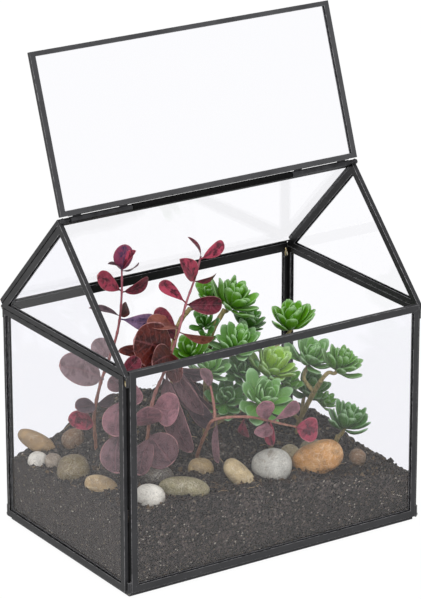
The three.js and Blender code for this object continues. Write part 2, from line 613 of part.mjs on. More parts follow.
/** A block of soil that fills the floor, with holes where stones and stems stand in it. */
function addSoil(holes) {
  const columns = Math.round((2 * SOIL_HALF_X) / SOIL_CELL);
  const rows = Math.round((2 * SOIL_HALF_Y) / SOIL_CELL);
  const points = [];
  const faces = [];
  for (let r = 0; r <= rows; r += 1) {
    for (let c = 0; c <= columns; c += 1) {
      const x = SOIL_HALF_X * ((2 * c) / columns - 1);
      const y = SOIL_HALF_Y * ((2 * r) / rows - 1);
      points.push(x, y, soilHeight(x, y));
      const corner = r * (columns + 1) + c;
      const above = corner + columns + 1;
      if (r < rows && c < columns) faces.push(corner, corner + 1, above, corner + 1, above + 1, above);
    }
  }
  const edge = []; // the rim of the top, anticlockwise
  for (let c = 0; c < columns; c += 1) edge.push(c);
  for (let r = 0; r < rows; r += 1) edge.push(r * (columns + 1) + columns);
  for (let c = columns; c > 0; c -= 1) edge.push(rows * (columns + 1) + c);
  for (let r = rows; r > 0; r -= 1) edge.push(r * (columns + 1));
  const foot = points.length / 3;
  for (const top of edge) points.push(points[3 * top], points[3 * top + 1], SOIL_BOTTOM);
  const middle = points.length / 3;
  points.push(0, 0, SOIL_BOTTOM);
  edge.forEach((top, i) => {
    const next = (i + 1) % edge.length;
    faces.push(top, foot + i, edge[next], foot + i, foot + next, edge[next], foot + next, foot + i, middle);
  });
  const block = new THREE.BufferGeometry();
  block.setAttribute("position", new THREE.Float32BufferAttribute(points, 3));
  block.setIndex(faces);
  addPiece("soil", holes.reduce((left, hole) => left.subtract(hole), solidOf(block)), earth);
}

addCase();
addHinge();
addLid();
const holes = [...addBurgundyPlant(), ...addGreenPlant(), ...addPebbles()];
addSoil(holes);

export default terrarium;
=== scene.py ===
"""A planted glass terrarium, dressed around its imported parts.

The house-shaped case keeps its packed channel, panes and hinge, with their finishes. The soil, the pebbles,
the burgundy-leaved plant and the green rosette succulent are new surfaces in the places of their plain
solids. Places and sizes are in millimetres from the middle of the case's base, as in the part's own
drawing, and placed() turns them into the frame's metres.
"""

import math

import bpy
import numpy as np
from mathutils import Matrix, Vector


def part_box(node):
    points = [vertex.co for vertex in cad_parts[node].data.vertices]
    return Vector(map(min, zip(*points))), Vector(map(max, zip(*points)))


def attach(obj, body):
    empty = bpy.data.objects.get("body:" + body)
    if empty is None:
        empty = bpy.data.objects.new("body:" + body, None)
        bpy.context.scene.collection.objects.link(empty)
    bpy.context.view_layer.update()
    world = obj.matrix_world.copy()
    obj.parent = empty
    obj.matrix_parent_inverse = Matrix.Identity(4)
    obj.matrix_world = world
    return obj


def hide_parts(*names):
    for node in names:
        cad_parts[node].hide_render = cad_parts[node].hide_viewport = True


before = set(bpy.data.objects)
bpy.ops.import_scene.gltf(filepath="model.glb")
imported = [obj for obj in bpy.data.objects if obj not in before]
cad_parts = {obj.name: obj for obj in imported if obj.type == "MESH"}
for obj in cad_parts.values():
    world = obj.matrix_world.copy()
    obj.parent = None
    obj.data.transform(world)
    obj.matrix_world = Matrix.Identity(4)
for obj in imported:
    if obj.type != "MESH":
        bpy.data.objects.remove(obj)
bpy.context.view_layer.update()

# ---- Driving sizes and the frame ----

MM = 0.001
floor_low, floor_high = (np.array(corner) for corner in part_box("floor_frame"))
CASE_MIDDLE = np.array([*((floor_low + floor_high) / 2)[:2], floor_low[2]])

HEART_HEIGHT = 110  # of the middle of the case's inside
SOIL_BOTTOM = 3.7
SOIL_HALF = np.array([122.2, 81.2])  # half the soil's length and depth
RED_STEM_RADIUS = 1.2
GREEN_STEM_RADIUS = 2.1
GREEN_BRANCH_RADIUS = 1.5
RED_FOOT, RED_END = 1.15, 0.55  # the radius at a leafy stem's foot and end, over RED_STEM_RADIUS
RED_BRANCH_END = 0.7
GREEN_END = 0.85
RED_KNOTS, RED_BRANCH_KNOTS, GREEN_KNOTS = 0.3, 0.2, 0.12  # how far knots swell a stem, over its radius
GOLDEN_ANGLE = 2.39996  # in radians


def placed(points):
    """Points in millimetres from the middle of the case's base, in the frame's metres."""
    return np.asarray(points, float) * MM + CASE_MIDDLE


# ---- Vectors ----


def unit(v):
    """v over its length, or each of its rows over theirs."""
    v = np.asarray(v, float)
    return v / np.linalg.norm(v, axis=-1, keepdims=True)


def turned(v, axis, angle):
    """v turned about a unit axis it stands square to, by an angle, or by each of several."""
    angle = column(angle)
    return v * np.cos(angle) + np.cross(axis, v) * np.sin(angle)


def column(values):
    """The values with one more axis, so that each scales a whole point."""
    return np.asarray(values, float)[..., None]


def round_angles(count):
    """Angles evenly round a full turn."""
    return np.linspace(0, 2 * math.pi, count, endpoint=False)


def ball_ways(rings, around):
    """Directions from a ball's middle to rings of points on it, from low to high, without its poles."""
    rise = np.linspace(-math.pi / 2, math.pi / 2, rings + 2)[1:-1, None]
    angle, level = round_angles(around), np.cos(rise)
    return np.stack([level * np.cos(angle), level * np.sin(angle), np.sin(rise) + 0 * angle], -1)


# ---- Surfaces: rings of points, closed at both ends ----


def skin_of(points, quads, tris, material=0, marks=()):
    """A skin: its points, its faces with four and with three corners, its material's number and its marks."""
    return {"points": points, "quads": quads, "tris": tris, "material": material, "marks": dict(marks)}


def closed_skin(rings, start, end, material=0, **marks):
    """A closed skin through rings of points, ring by ring, with a fan to one point at each end.

    rings holds rings x points round x 3. A mark is one value or row of values for the whole skin, or one
    for every point of the rings, whose end points then take the mean of the nearest ring.
    """
    count, around = rings.shape[:2]
    here = np.arange(count * around).reshape(count, around)
    beside = np.roll(here, -1, axis=1)
    quads = np.stack([here[:-1], beside[:-1], beside[1:], here[1:]], -1).reshape(-1, 4)
    pole = np.full(around, count * around)
    low_fan = np.stack([pole, beside[0], here[0]], -1)
    high_fan = np.stack([pole + 1, here[-1], beside[-1]], -1)
    points = np.concatenate([rings.reshape(-1, 3), [start], [end]])
    skin_marks = {}
    for name, value in marks.items():
        value = np.asarray(value, float)
        if value.shape[:2] == (count, around):
            rows = value.reshape(count, around, -1)
            value = np.concatenate([rows.reshape(count * around, -1), rows[[0, -1]].mean(1)])
        else:
            value = np.broadcast_to(value.reshape(1, -1), (len(points), value.size))
        skin_marks[name] = value
    return skin_of(points, quads, np.concatenate([low_fan, high_fan]), material, skin_marks)


def piece(name, skins, materials, replaces=(), body="case", smooth=True):
    """One object made of skins, riding on a body, with their marks as attributes of its points."""
    points = np.concatenate([skin["points"] for skin in skins])
    faces, slots, first = [], [], 0
    for skin in skins:
        for corners in (skin["quads"], skin["tris"]):
            faces += (corners + first).tolist()
            slots += [skin["material"]] * len(corners)
        first += len(skin["points"])
    mesh = bpy.data.meshes.new(name)
    mesh.from_pydata(placed(points).tolist(), [], faces)
    mesh.polygons.foreach_set("material_index", slots)
    mesh.polygons.foreach_set("use_smooth", [smooth] * len(faces))
    for mark in sorted({mark for skin in skins for mark in skin["marks"]}):
        width = next(skin["marks"][mark].shape[1] for skin in skins if mark in skin["marks"])
        rows = [skin["marks"].get(mark, np.zeros((len(skin["points"]), width))) for skin in skins]
        kind, field = {1: ("FLOAT", "value"), 3: ("FLOAT_VECTOR", "vector")}[width]
        mesh.attributes.new(mark, kind, "POINT").data.foreach_set(field, np.concatenate(rows).reshape(-1))
    mesh.validate()
    for material in materials:
        mesh.materials.append(material)
    obj = bpy.data.objects.new(name, mesh)
    bpy.context.scene.collection.objects.link(obj)
    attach(obj, body)
    if replaces:
        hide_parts(*replaces)


# ---- Random unevenness ----

LATTICE = 64  # heights along each side of the lattice, after which it repeats


def lattice_noise(x, y, cell, seed):
    """Heights from -1 to 1, drawn at random on a square lattice and blended between by 3t^2 - 2t^3."""
    heights = np.random.default_rng(seed).uniform(-1, 1, (LATTICE, LATTICE))
    u, v = x / cell, y / cell
    i, j = np.floor(u).astype(int), np.floor(v).astype(int)
    s, t = u - i, v - j
    s, t = s * s * (3 - 2 * s), t * t * (3 - 2 * t)

    def corner(di, dj):
        return heights[(i + di) % LATTICE, (j + dj) % LATTICE]

    near = corner(0, 0) * (1 - s) + corner(1, 0) * s
    far = corner(0, 1) * (1 - s) + corner(1, 1) * s
    return near * (1 - t) + far * t


# ---- Finishes: procedural materials ----


def colour(code):
    """A linear colour with alpha from a six-digit sRGB code."""
    channels = [int(code[i : i + 2], 16) / 255 for i in (0, 2, 4)]
    linear = [c / 12.92 if c <= 0.04045 else ((c + 0.055) / 1.055) ** 2.4 for c in channels]
    return (*linear, 1.0)


class Finish:
    """A material's node tree, with a short method for each kind of node that the finishes use."""

    def __init__(self, name):
        self.material = bpy.data.materials.new(name)
        self.material.use_nodes = True
        self.tree = self.material.node_tree
        self.tree.nodes.clear()
        self.output = self.tree.nodes.new("ShaderNodeOutputMaterial")

    def node(self, kind, inputs=(), **settings):
        """A node with its settings. Its inputs are a dict by name or number, or a row in their order."""
        made = self.tree.nodes.new(kind)
        for name, value in settings.items():
            setattr(made, name, value)
        for key, value in inputs.items() if isinstance(inputs, dict) else enumerate(inputs):
            self.feed(made.inputs[key], value)
        return made

    def feed(self, socket, value):
        """Links the socket to another node's output, or sets it to a value or a colour's code."""
        if isinstance(value, bpy.types.NodeSocket):
            self.tree.links.new(value, socket)
        else:
            socket.default_value = colour(value) if isinstance(value, str) else value

    def place(self):
        return self.node("ShaderNodeTexCoord").outputs["Object"]

    def normal(self):
        return self.node("ShaderNodeTexCoord").outputs["Normal"]

    def mark(self, name, output="Fac"):
        return self.node("ShaderNodeAttribute", attribute_name=name).outputs[output]

    def parts(self, vector):
        return self.node("ShaderNodeSeparateXYZ", (vector,)).outputs

    def leaf(self):
        """A leaf's marks: how far off its middle, how far along and on which face, and its two colours."""
        across, along, face = self.parts(self.mark("blade", "Vector"))
        heart, edge = self.mark("heart", "Color"), self.mark("edge", "Color")
        return self.math("ABSOLUTE", across), along, face, heart, edge

    def noise(self, scale, detail=3.0, roughness=0.5, place=None, distortion=0.0):
        inputs = {"Vector": place or self.place(), "Scale": scale, "Detail": detail}
        inputs |= {"Roughness": roughness, "Distortion": distortion}
        return self.node("ShaderNodeTexNoise", inputs).outputs["Fac"]

    def cells(self, scale, place=None, output="Distance"):
        inputs = {"Vector": place or self.place(), "Scale": scale}
        return self.node("ShaderNodeTexVoronoi", inputs).outputs[output]

    def cell_shade(self, scale, channel, place=None):
        """One channel of each cell's random colour."""
        return self.node("ShaderNodeSeparateColor", (self.cells(scale, place, "Color"),)).outputs[channel]

    def stretched(self, scale):
        """Object coordinates scaled by three factors, for a pattern that is longer one way."""
        return self.node("ShaderNodeMapping", {"Vector": self.place(), "Scale": scale}).outputs["Vector"]

    def math(self, operation, *values, clamp=False):
        return self.node("ShaderNodeMath", values, operation=operation, use_clamp=clamp).outputs[0]

    def vector(self, operation, a, b, output="Vector"):
        return self.node("ShaderNodeVectorMath", (a, b), operation=operation).outputs[output]

    def weighed(self, *terms):
        """The sum of values, each times its weight."""
        total = 0.0
        for value, weight in terms:
            total = self.math("MULTIPLY_ADD", value, weight, total)
        return total

    def span(self, value, low, high, to_low, to_high):
        """value moved from one range onto another, and held at its ends."""
        inputs = {"Value": value, "From Min": low, "From Max": high, "To Min": to_low, "To Max": to_high}
        return self.node("ShaderNodeMapRange", inputs).outputs["Result"]

    def share(self, value, none, full, most=1.0):
        """Nothing where value is at or before none, and most where it is at or past full."""
        return self.span(value, none, full, 0.0, most)

    def uneven(self, cloud, low, high):
        """A level from low to high that follows a noise, most of which lies between 0.3 and 0.7."""
        return self.span(cloud, 0.3, 0.7, low, high)

    def painted_end_shade(self, most):
        """The share of a painted shade: nothing on faces to the front, back and top, and most on those to the
        case's ends.
        """
        return self.share(self.math("ABSOLUTE", self.parts(self.normal())[0]), 0.6, 0.9, most)

    def ramp(self, value, *stops):
        """A colour between those of the stops, each a position and a colour's code."""
        made = self.node("ShaderNodeValToRGB", {"Fac": value})
        elements = made.color_ramp.elements
        while len(elements) < len(stops):
            elements.new(0.5)
        for element, (position, code) in zip(elements, stops):
            element.position = position
            element.color = colour(code)
        return made.outputs["Color"]

    def mix(self, share, a, b):
        return self.node("ShaderNodeMix", {0: share, 6: a, 7: b}, data_type="RGBA").outputs[2]

    def layers(self, base, *coats):
        """base under its coats, each a share and the colour that it covers what is below with."""
        for share, over in coats:
            base = self.mix(share, base, over)
        return base

    def bump(self, height, depth, strength=1.0):
        """Bumps of the given depth in millimetres."""
        inputs = {"Height": height, "Distance": depth * MM, "Strength": strength}
        return self.node("ShaderNodeBump", inputs).outputs["Normal"]

    def surface(self, base, roughness, normal=None, **inputs):
        """The Principled shader on the output; a name's underscores stand for spaces."""
        named = {name.replace("_", " "): value for name, value in inputs.items()}
        if normal is not None:
            named["Normal"] = normal
        made = self.node("ShaderNodeBsdfPrincipled", {"Base Color": base, "Roughness": roughness, **named})
        self.feed(self.output.inputs["Surface"], made.outputs["BSDF"])
        return self.material


def channel_paint(name, dark, pale, painted_inner_shade=None):
    """Satin charcoal enamel between two shades, with uneven gloss and small worn specks. Faces to the ends
    are darker, a painted shade. With a painted shade for the inside, the faces that look in to the middle of
    the case have that colour."""
    f = Finish(name)
    cloud = f.noise(35, 4, 0.6)
    # Painted shade: the faces to the case's ends are darkened.
    base = f.mix(f.painted_end_shade(0.75), f.ramp(cloud, (0.3, dark), (0.7, pale)), "151516")
    # Painted shade: the faces that look in to the middle of the case take the darker colour.
    if painted_inner_shade:
        outwards = f.vector("SUBTRACT", f.place(), tuple(placed([0, 0, HEART_HEIGHT])))
        facing = f.vector("DOT_PRODUCT", f.normal(), outwards, "Value")
        base = f.mix(f.share(facing, -4 * MM, -12 * MM), base, painted_inner_shade)
    worn = f.mix(f.share(f.noise(420, 3, 0.7), 0.66, 0.74), base, "57575a")
    grain = f.bump(f.noise(900, 2, 0.6), 0.04, 0.5)
    return f.surface(worn, f.uneven(cloud, 0.34, 0.5), grain, Metallic=0.1, Specular_IOR_Level=0.24)


def rubbed_edge_highlight():
    """The channel's edges, where handling has worn the enamel thin in places. Their pale colour is partly a
    painted highlight along the edges.
    """
    f = Finish("rubbed_edge_highlight")
    wear = f.share(f.noise(240, 4, 0.7), 0.4, 0.62)
    metal = f.span(wear, 0.0, 1.0, 0.25, 0.6)
    grain = f.bump(f.noise(900, 2, 0.6), 0.04, 0.5)
    return f.surface(f.mix(wear, "3a3a3c", "8a898b"), 0.4, grain, Metallic=metal)


def painted_shade_filler():
    """Black filler, dull and slightly uneven, put in as a painted shade where the grooves and gaps of the
    case lie in shade.
    """
    f = Finish("painted_shade_filler")
    lumps = f.noise(500, 3, 0.6)
    shade = f.ramp(lumps, (0.3, "060606"), (0.7, "111112"))
    return f.surface(shade, 0.8, f.bump(lumps, 0.2, 0.6), Specular_IOR_Level=0.08)


def hinge_steel():
    """Darkened steel, a little smoother than the channel."""
    f = Finish("hinge_steel")
    cloud = f.noise(180, 3, 0.6)
    shade = f.ramp(cloud, (0.3, "1f1f21"), (0.75, "3a3a3d"))
    return f.surface(shade, f.uneven(cloud, 0.25, 0.42), f.bump(f.noise(1500, 2), 0.03, 0.5), Metallic=0.6)


def solder_metal():
    """Bright solder with brassy flux stains."""
    f = Finish("solder_metal")
    stain = f.noise(700, 3, 0.6)
    shade = f.ramp(stain, (0.35, "c9c4b4"), (0.6, "9a8350"), (0.8, "5d4a2a"))
    gloss = f.span(stain, 0.3, 0.8, 0.22, 0.5)
    return f.surface(shade, gloss, f.bump(f.noise(1200, 2), 0.1, 0.6), Metallic=1.0)


def painted_solder():
    """Solder under the channel's paint, with the metal showing on the highest lumps."""
    f = Finish("painted_solder")
    lumps = f.noise(600, 3, 0.6)
    shade = f.mix(f.share(lumps, 0.6, 0.7), f.ramp(lumps, (0.3, "232325"), (0.7, "3c3b3b")), "8c8676")
    return f.surface(shade, 0.38, f.bump(lumps, 0.2, 0.7), Metallic=f.span(lumps, 0.55, 0.7, 0.3, 0.9))


PANE_TINT = (0.982, 0.982, 0.994, 1.0)
MIRROR_SHARE = 0.026  # of the light that meets one face of a pane straight on
GLANCING_SHARE = 0.25  # of the light that only grazes it


def pane_glass():
    """Thin clear glass: it passes what is behind it faintly tinted, and mirrors more at a glancing angle.

    The mirrored share is MIRROR_SHARE + GLANCING_SHARE (1 - cos)^5, of the angle at which the face is met.
    """
    f = Finish("pane_glass")
    glancing = f.math("POWER", f.node("ShaderNodeLayerWeight", {"Blend": 0.5}).outputs["Facing"], 5.0)
    share = f.math("MULTIPLY_ADD", glancing, GLANCING_SHARE, MIRROR_SHARE, clamp=True)
    clear = f.node("ShaderNodeBsdfTransparent", {"Color": PANE_TINT}).outputs[0]
    mirror = f.node("ShaderNodeBsdfGlossy", {"Color": (1, 1, 1, 1), "Roughness": 0.03}).outputs[0]
    f.feed(f.output.inputs["Surface"], f.node("ShaderNodeMixShader", (share, clear, mirror)).outputs[0])
    return f.material


def burgundy_leaf():
    """A waxy leaf, mottled between its heart and edge colours, with faint side veins and a pale rim. The rim
    is partly the leaf's own pale margin and partly a painted highlight.
    """
    f = Finish("burgundy_leaf")
    off_midrib, along, face, heart, edge = f.leaf()
    blotch = f.noise(170, 4, 0.65, distortion=0.8)
    mottled = f.share(f.weighed((off_midrib, 0.2), (blotch, 1.0)), 0.47, 0.64)
    dusty = f.share(f.noise(420, 4, 0.7), 0.46, 0.68, 0.18)
    shaded = f.share(f.noise(95, 3, 0.6), 0.52, 0.34, 0.5)
    chevrons = f.weighed((along, 8.0), (off_midrib, -2.2), (blotch, 0.9))
    wave = f.math("SINE", f.math("MULTIPLY", chevrons, 2 * math.pi))
    vein = f.share(wave, 0.8, 1.0, 0.12)
    midrib = f.share(off_midrib, 0.07, 0.02, 0.28)
    speckle = f.share(f.noise(1100, 2, 0.6), 0.58, 0.72, 0.2)
    under = f.share(face, 0.0, -0.4, 0.3)
    # The pale rim: partly the leaf's own margin, partly a painted highlight along it.
    rim = f.math("MAXIMUM", f.share(off_midrib, 0.92, 0.98), f.share(along, 0.965, 0.99))
    rim = f.math("MULTIPLY", rim, f.share(along, 0.08, 0.3, 0.75))
    rim = f.math("MULTIPLY", rim, f.span(f.noise(330, 3, 0.6), 0.35, 0.6, 0.25, 1.0))
    skin = f.layers(
        f.mix(mottled, heart, edge),
        (dusty, f.mix(0.25, edge, "9a8f9b")),
        (shaded, f.mix(0.6, heart, "1e1014")),
        (vein, f.mix(0.6, edge, "b98a90")),
        (midrib, f.mix(0.5, edge, "b5727a")),
        (speckle, f.mix(0.5, edge, "b9959c")),
        (under, "8d6a72"),
        (rim, "d09a98"),
    )
    relief = f.weighed((blotch, 0.5), (vein, -1.0), (midrib, -1.0))
    return f.surface(skin, f.uneven(blotch, 0.3, 0.5), f.bump(relief, 0.6, 0.9), Specular_IOR_Level=0.2)


def red_stem():
    """A stem that is brown where it is old and low, and rosy where it is young and high."""
    f = Finish("red_stem")
    height = f.parts(f.place())[2]
    streak = f.noise(1.0, 3, 0.6, f.stretched((700, 700, 90)))
    young = f.share(f.weighed((streak, 30 * MM), (height, 1.0)), 100 * MM, 200 * MM)
    brown = f.ramp(streak, (0.3, "6b4232"), (0.7, "a2735a"))
    rosy = f.ramp(streak, (0.3, "6d2c3c"), (0.7, "a8606c"))
    return f.surface(f.mix(young, brown, rosy), 0.5, f.bump(streak, 0.2, 0.6))


def fleshy_leaf_skin():
    """A thick leaf: the heart's bright colour at its foot, bluer towards its tip, with a frosted pale margin.
    A painted shade darkens its lower face, and its foot where it sits in the heart of the rosette.
    """
    f = Finish("fleshy_leaf_skin")
    off_middle, along, face, heart, edge = f.leaf()
    cloud = f.noise(300, 3, 0.6)
    outer = f.share(f.weighed((cloud, 0.5), (along, 1.0)), 0.5, 1.15)
    midline = f.math("MULTIPLY", f.share(off_middle, 0.2, 0.0), f.share(along, 1.0, 0.2, 0.3))
    rim = f.math("MAXIMUM", f.share(off_middle, 0.8, 0.98), f.share(along, 0.86, 0.98))
    rim = f.math("MULTIPLY", rim, f.share(along, 0.35, 0.85, 0.65))
    skin = f.layers(
        f.mix(outer, heart, edge),
        (midline, "a9c86a"),
        # Painted shade on the leaf's lower face.
        (f.share(face, 0.1, -0.6, 0.6), f.mix(0.55, heart, "1f3a16")),
        # Painted shade at the leaf's foot, in the heart of the rosette.
        (f.share(along, 0.4, 0.0, 0.55), f.mix(0.7, heart, "22380c")),
        (rim, f.mix(0.55, edge, "c4dcc0")),
    )
    return f.surface(skin, f.uneven(cloud, 0.32, 0.5), f.bump(cloud, 0.4, 0.7), Specular_IOR_Level=0.3)


def green_bark():
    """The succulent's woody stem: olive and tan streaks with darker leaf scars."""
    f = Finish("green_bark")
    streak = f.noise(1.0, 3, 0.65, f.stretched((600, 600, 120)))
    scars = f.share(f.cells(190, f.stretched((1, 1, 1.6))), 0.12, 0.3)
    bark = f.ramp(streak, (0.25, "5a5632"), (0.5, "8a7c4c"), (0.78, "b19a70"))
    relief = f.weighed((scars, 0.4), (streak, 1.0))
    return f.surface(f.mix(scars, "5b5134", bark), 0.62, f.bump(relief, 0.4, 0.8))


def stone(name, code, vein_code, speckle, band):
    """A worn pebble: a cloudy ground, slow bands and thin seams of a second colour, stains, mineral specks,
    pits, and soil on its lower side and in its hollows. band widens the bands."""
    f = Finish(f"{name}_stone")
    cloud = f.noise(120, 6, 0.72, distortion=0.7)
    bands = f.noise(1.0, 3, 0.55, f.stretched((60, 60, 210)))
    seam = f.math("ABSOLUTE", f.math("SUBTRACT", f.noise(85, 3, 0.55, distortion=1.2), 0.5))
    grains = f.noise(1500, 2, 0.7)
    rise = f.weighed((f.noise(260, 5, 0.75), 2.0), (f.mark("rise"), 1.0))
    ground = f.layers(
        f.mix(f.share(cloud, 0.36, 0.62), f.mix(0.36, code, "2a241e"), code),
        (f.share(bands, 0.5 - band, 0.75 - band, 0.75), vein_code),
        (f.share(seam, 0.012, 0.002, 0.45), f.mix(0.6, vein_code, "efe8d8")),
        (f.share(f.noise(75, 5, 0.7, distortion=1.2), 0.5, 0.64, 0.6), "6e5f4c"),
        (f.share(grains, 0.56, 0.66, speckle), "3c352d"),
        (f.share(grains, 0.44, 0.36, speckle), "f2ece0"),
        (f.share(rise, 0.72, 0.4, 0.92), "2a211b"),
        (f.share(f.noise(520, 4, 0.75), 0.6, 0.7, 0.6), "4a3d31"),
    )
    relief = f.weighed((grains, 0.35), (f.share(f.cells(420), 0.05, 0.2), 0.4), (cloud, 1.2))
    return f.surface(ground, f.uneven(cloud, 0.5, 0.72), f.bump(relief, 0.25, 0.6), Specular_IOR_Level=0.35)


def potting_soil():
    """Damp compost: crumbs in several browns, with wet patches, tan bark flecks and a few pale grains. It is
    darker low down, and where it faces the ends it has a painted shade."""
    f = Finish("potting_soil")
    fine = f.noise(880, 4, 0.8)
    mixed = f.weighed((f.cell_shade(700, 0), 0.4), (fine, 0.38), (f.noise(250, 4, 0.7), 0.22))
    fleck = f.cell_shade(900, 1, f.stretched((1, 1, 1.4)))
    ground = f.layers(
        f.ramp(mixed, (0.3, "0c0b0b"), (0.43, "201c1a"), (0.57, "3d3632"), (0.74, "675e57")),
        (f.share(f.noise(26, 4, 0.65), 0.44, 0.62, 0.55), "120e0b"),
        (f.share(f.parts(f.place())[2], 48 * MM, 10 * MM, 0.45), "15110d"),
        # Painted shade on the faces to the ends.
        (f.painted_end_shade(0.58), "20140a"),
        (f.share(fleck, 0.95, 0.975, 0.6), "7d705c"),
        (f.share(fleck, 0.014, 0.006, 0.8), "a8a193"),
    )
    relief = f.weighed((f.cells(700), 0.8), (fine, 0.7))
    return f.surface(ground, 0.9, f.bump(relief, 0.6), Specular_IOR_Level=0.25)


def loose_crumb():
    """Crumbs and bark bits, each in its own shade from the mark on it."""
    f = Finish("loose_crumb")
    shades = [(0.0, "100c09"), (0.45, "2c221b"), (0.8, "4a3b2f"), (0.94, "6b5840"), (0.99, "8d7f69")]
    dirt = f.share(f.noise(1400, 3, 0.7), 0.4, 0.7, 0.6)
    ground = f.mix(dirt, f.ramp(f.mark("own"), *shades), "120d0a")
    return f.surface(ground, 0.92, f.bump(f.noise(1300, 3, 0.7), 0.5), Specular_IOR_Level=0.2)


def bark_fibre():
    """Dry coir and bark strands, tan to straw."""
    f = Finish("bark_fibre")
    ground = f.ramp(f.mark("own"), (0.0, "4a3626"), (0.5, "7d6243"), (1.0, "b39a72"))
    return f.surface(ground, 0.8, f.bump(f.noise(1500, 2), 0.2))


# ---- Stems: a round profile carried along a smooth path ----

RING_STEP = 1.6  # along a stem, from ring to ring
KNOT_STEP = 11  # from knot to knot


def smooth_path(points, count):
    """count points on a curve through the given ones, each stretch a cubic whose slope at a point is half
    the way between its neighbours."""
    points = np.asarray(points, float)
    slopes = np.gradient(points, axis=0)
    place = np.linspace(0, len(points) - 1, count)
    i = np.minimum(place.astype(int), len(points) - 2)
    t = column(place - i)
    start, end, leave, arrive = points[i], points[i + 1], slopes[i], slopes[i + 1]
    stay = (1 + 2 * t) * (1 - t) ** 2
    come = t * t * (3 - 2 * t)
    return stay * start + come * end + t * (1 - t) ** 2 * leave - t * t * (1 - t) * arrive


def stem(points, radius, end_radius, knots, sides=10, seed=0):
    """A stem along a smooth path, as one closed skin.

    Its radius goes evenly from radius to end_radius, and swells by knots |sin(pi s)|^14, where s counts the
    knot steps passed. A stem with knots has three slight lobes, 0.05 sin(3 a) round each ring.
    """
    length = np.linalg.norm(np.diff(np.asarray(points, float), axis=0), axis=1).sum()
    count = max(8, int(length / RING_STEP))
    path = smooth_path(points, count)
    forward = unit(np.gradient(path, axis=0))
    level = np.eye(3)[np.argmin(np.abs(forward).max(0))]
    side = unit(np.cross(level, forward))
    lift = np.cross(forward, side)
    t = column(np.linspace(0, 1, count))
    swell = knots * np.abs(np.sin(math.pi * (t * length / KNOT_STEP + 0.37 * seed))) ** 14
    thick = (radius + (end_radius - radius) * t) * (1 + swell)
    angle = round_angles(sides)
    lobes = 1 + (0.05 if knots else 0.0) * np.sin(3 * angle + 5 * t + seed)
    across = column(np.cos(angle)) * side[:, None] + column(np.sin(angle)) * lift[:, None]
    return closed_skin(path[:, None] + across * column(thick * lobes), path[0], path[-1])


# ---- Leaves: a blade's section carried along a bowed midrib ----

FACING = unit([-0.52, -0.78, 0.34])  # the way most burgundy leaves turn their faces


def blade_share(t, taper, roundness):
    """Half the width of a blade as a share of its greatest, at a share t of its length: t^a (1 - t)^b."""
    peak = taper / (taper + roundness)
    return t**taper * (1 - t) ** roundness / (peak**taper * (1 - peak) ** roundness)


def blade(base, forward, normal, length, width, form, marks, rings=18, sides=16, material=0):
    """A leaf as one closed skin.

    Its middle runs forward from its base, bowed to the normal by bow sin(pi t) and then curled by curl t^2,
    both as shares of its length, and swayed to the side by sway sin(pi t). Round each section the angle a
    makes a full turn: a point lies cos(a) half widths to the side and sin(a) half thicknesses up, and the
    sides rise from the midrib by cup |cos a|^1.7 half widths and ripple at the margin. The section turns
    by twist t. The blade widens past its stalk as blade_share(), and is nowhere narrower than twice foot but
    near its tip.
    """
    t = 0.5 - 0.5 * np.cos(math.pi * np.linspace(0.03, 0.985, rings))
    spread = np.clip((t - form["stalk"]) / (1 - form["stalk"]), 0, 1)
    share = blade_share(spread, form["taper"], form["roundness"])
    half = np.where(t > 0.9, width / 2 * share, np.maximum(width / 2 * share, form["foot"]))
    thick = form["thick"] * np.maximum(form["thin"], np.sqrt(share)) / 2
    side = np.cross(normal, forward)
    up, out = (turned(way, forward, form["twist"] * t)[:, None] for way in (normal, side))
    rise = form["bow"] * np.sin(math.pi * t) + form["curl"] * t**2
    sway = form["sway"] * np.sin(math.pi * t)
    middle = base + length * (column(t) * forward + column(rise) * normal + column(sway) * side)
    angle = round_angles(sides)
    c, s = np.cos(angle), np.sin(angle)
    waves = np.sin(2 * math.pi * form["waves"] * column(t) + form["phase"] + 2.2 * c)
    lift = form["cup"] * np.abs(c) ** 1.7 + form["ripple"] * c**2 * waves
    up_by = lift * column(half) + s * column(thick)
    points = middle[:, None] + column(c * column(half)) * out + column(up_by) * up
    where = np.stack(np.broadcast_arrays(c, column(t), s), -1)
    tip = base + length * (forward + form["curl"] * normal)
    return closed_skin(points, base, tip, material, blade=where, **marks)


# Heart and edge colours of the burgundy plant's leaves.
LEAF_TONES = {
    "plum": ("38294a", "833553"),
    "violet": ("3b3050", "7a6080"),
    "crimson": ("3e0d1e", "a0374e"),
    "wine": ("2e0b14", "681f30"),
    "maroon": ("2e0b08", "561f17"),
    "olive": ("5e3027", "854c3f"),
    "rose": ("5d3d44", "875b63"),
    "mauve": ("493539", "694d51"),
    "dusk": ("3e3238", "5e4c53"),
    "haze": ("6f5a5e", "917a7e"),
}

LEAF_FORMS = {
    "oval": dict(taper=0.75, roundness=0.5, stalk=0.08, cup=0.2, bow=0.08, ripple=0.05),
    "round": dict(taper=0.6, roundness=0.42, stalk=0.1, cup=0.16, bow=0.06, ripple=0.07),
    "spoon": dict(taper=1.3, roundness=0.42, stalk=0.06, cup=0.22, bow=0.08, ripple=0.05),
    "lance": dict(taper=0.9, roundness=0.8, stalk=0.05, cup=0.3, bow=0.1, ripple=0.04),
    "folded": dict(taper=0.7, roundness=0.55, stalk=0.06, cup=0.55, bow=0.12, ripple=0.05),
}
LEAF_THICK, LEAF_FOOT = 0.55, 0.55  # a burgundy leaf's thickness, and half its least width
LEAF_SHADES = (0.82, 1.22)  # how dark and how pale a leaf is beside its tone


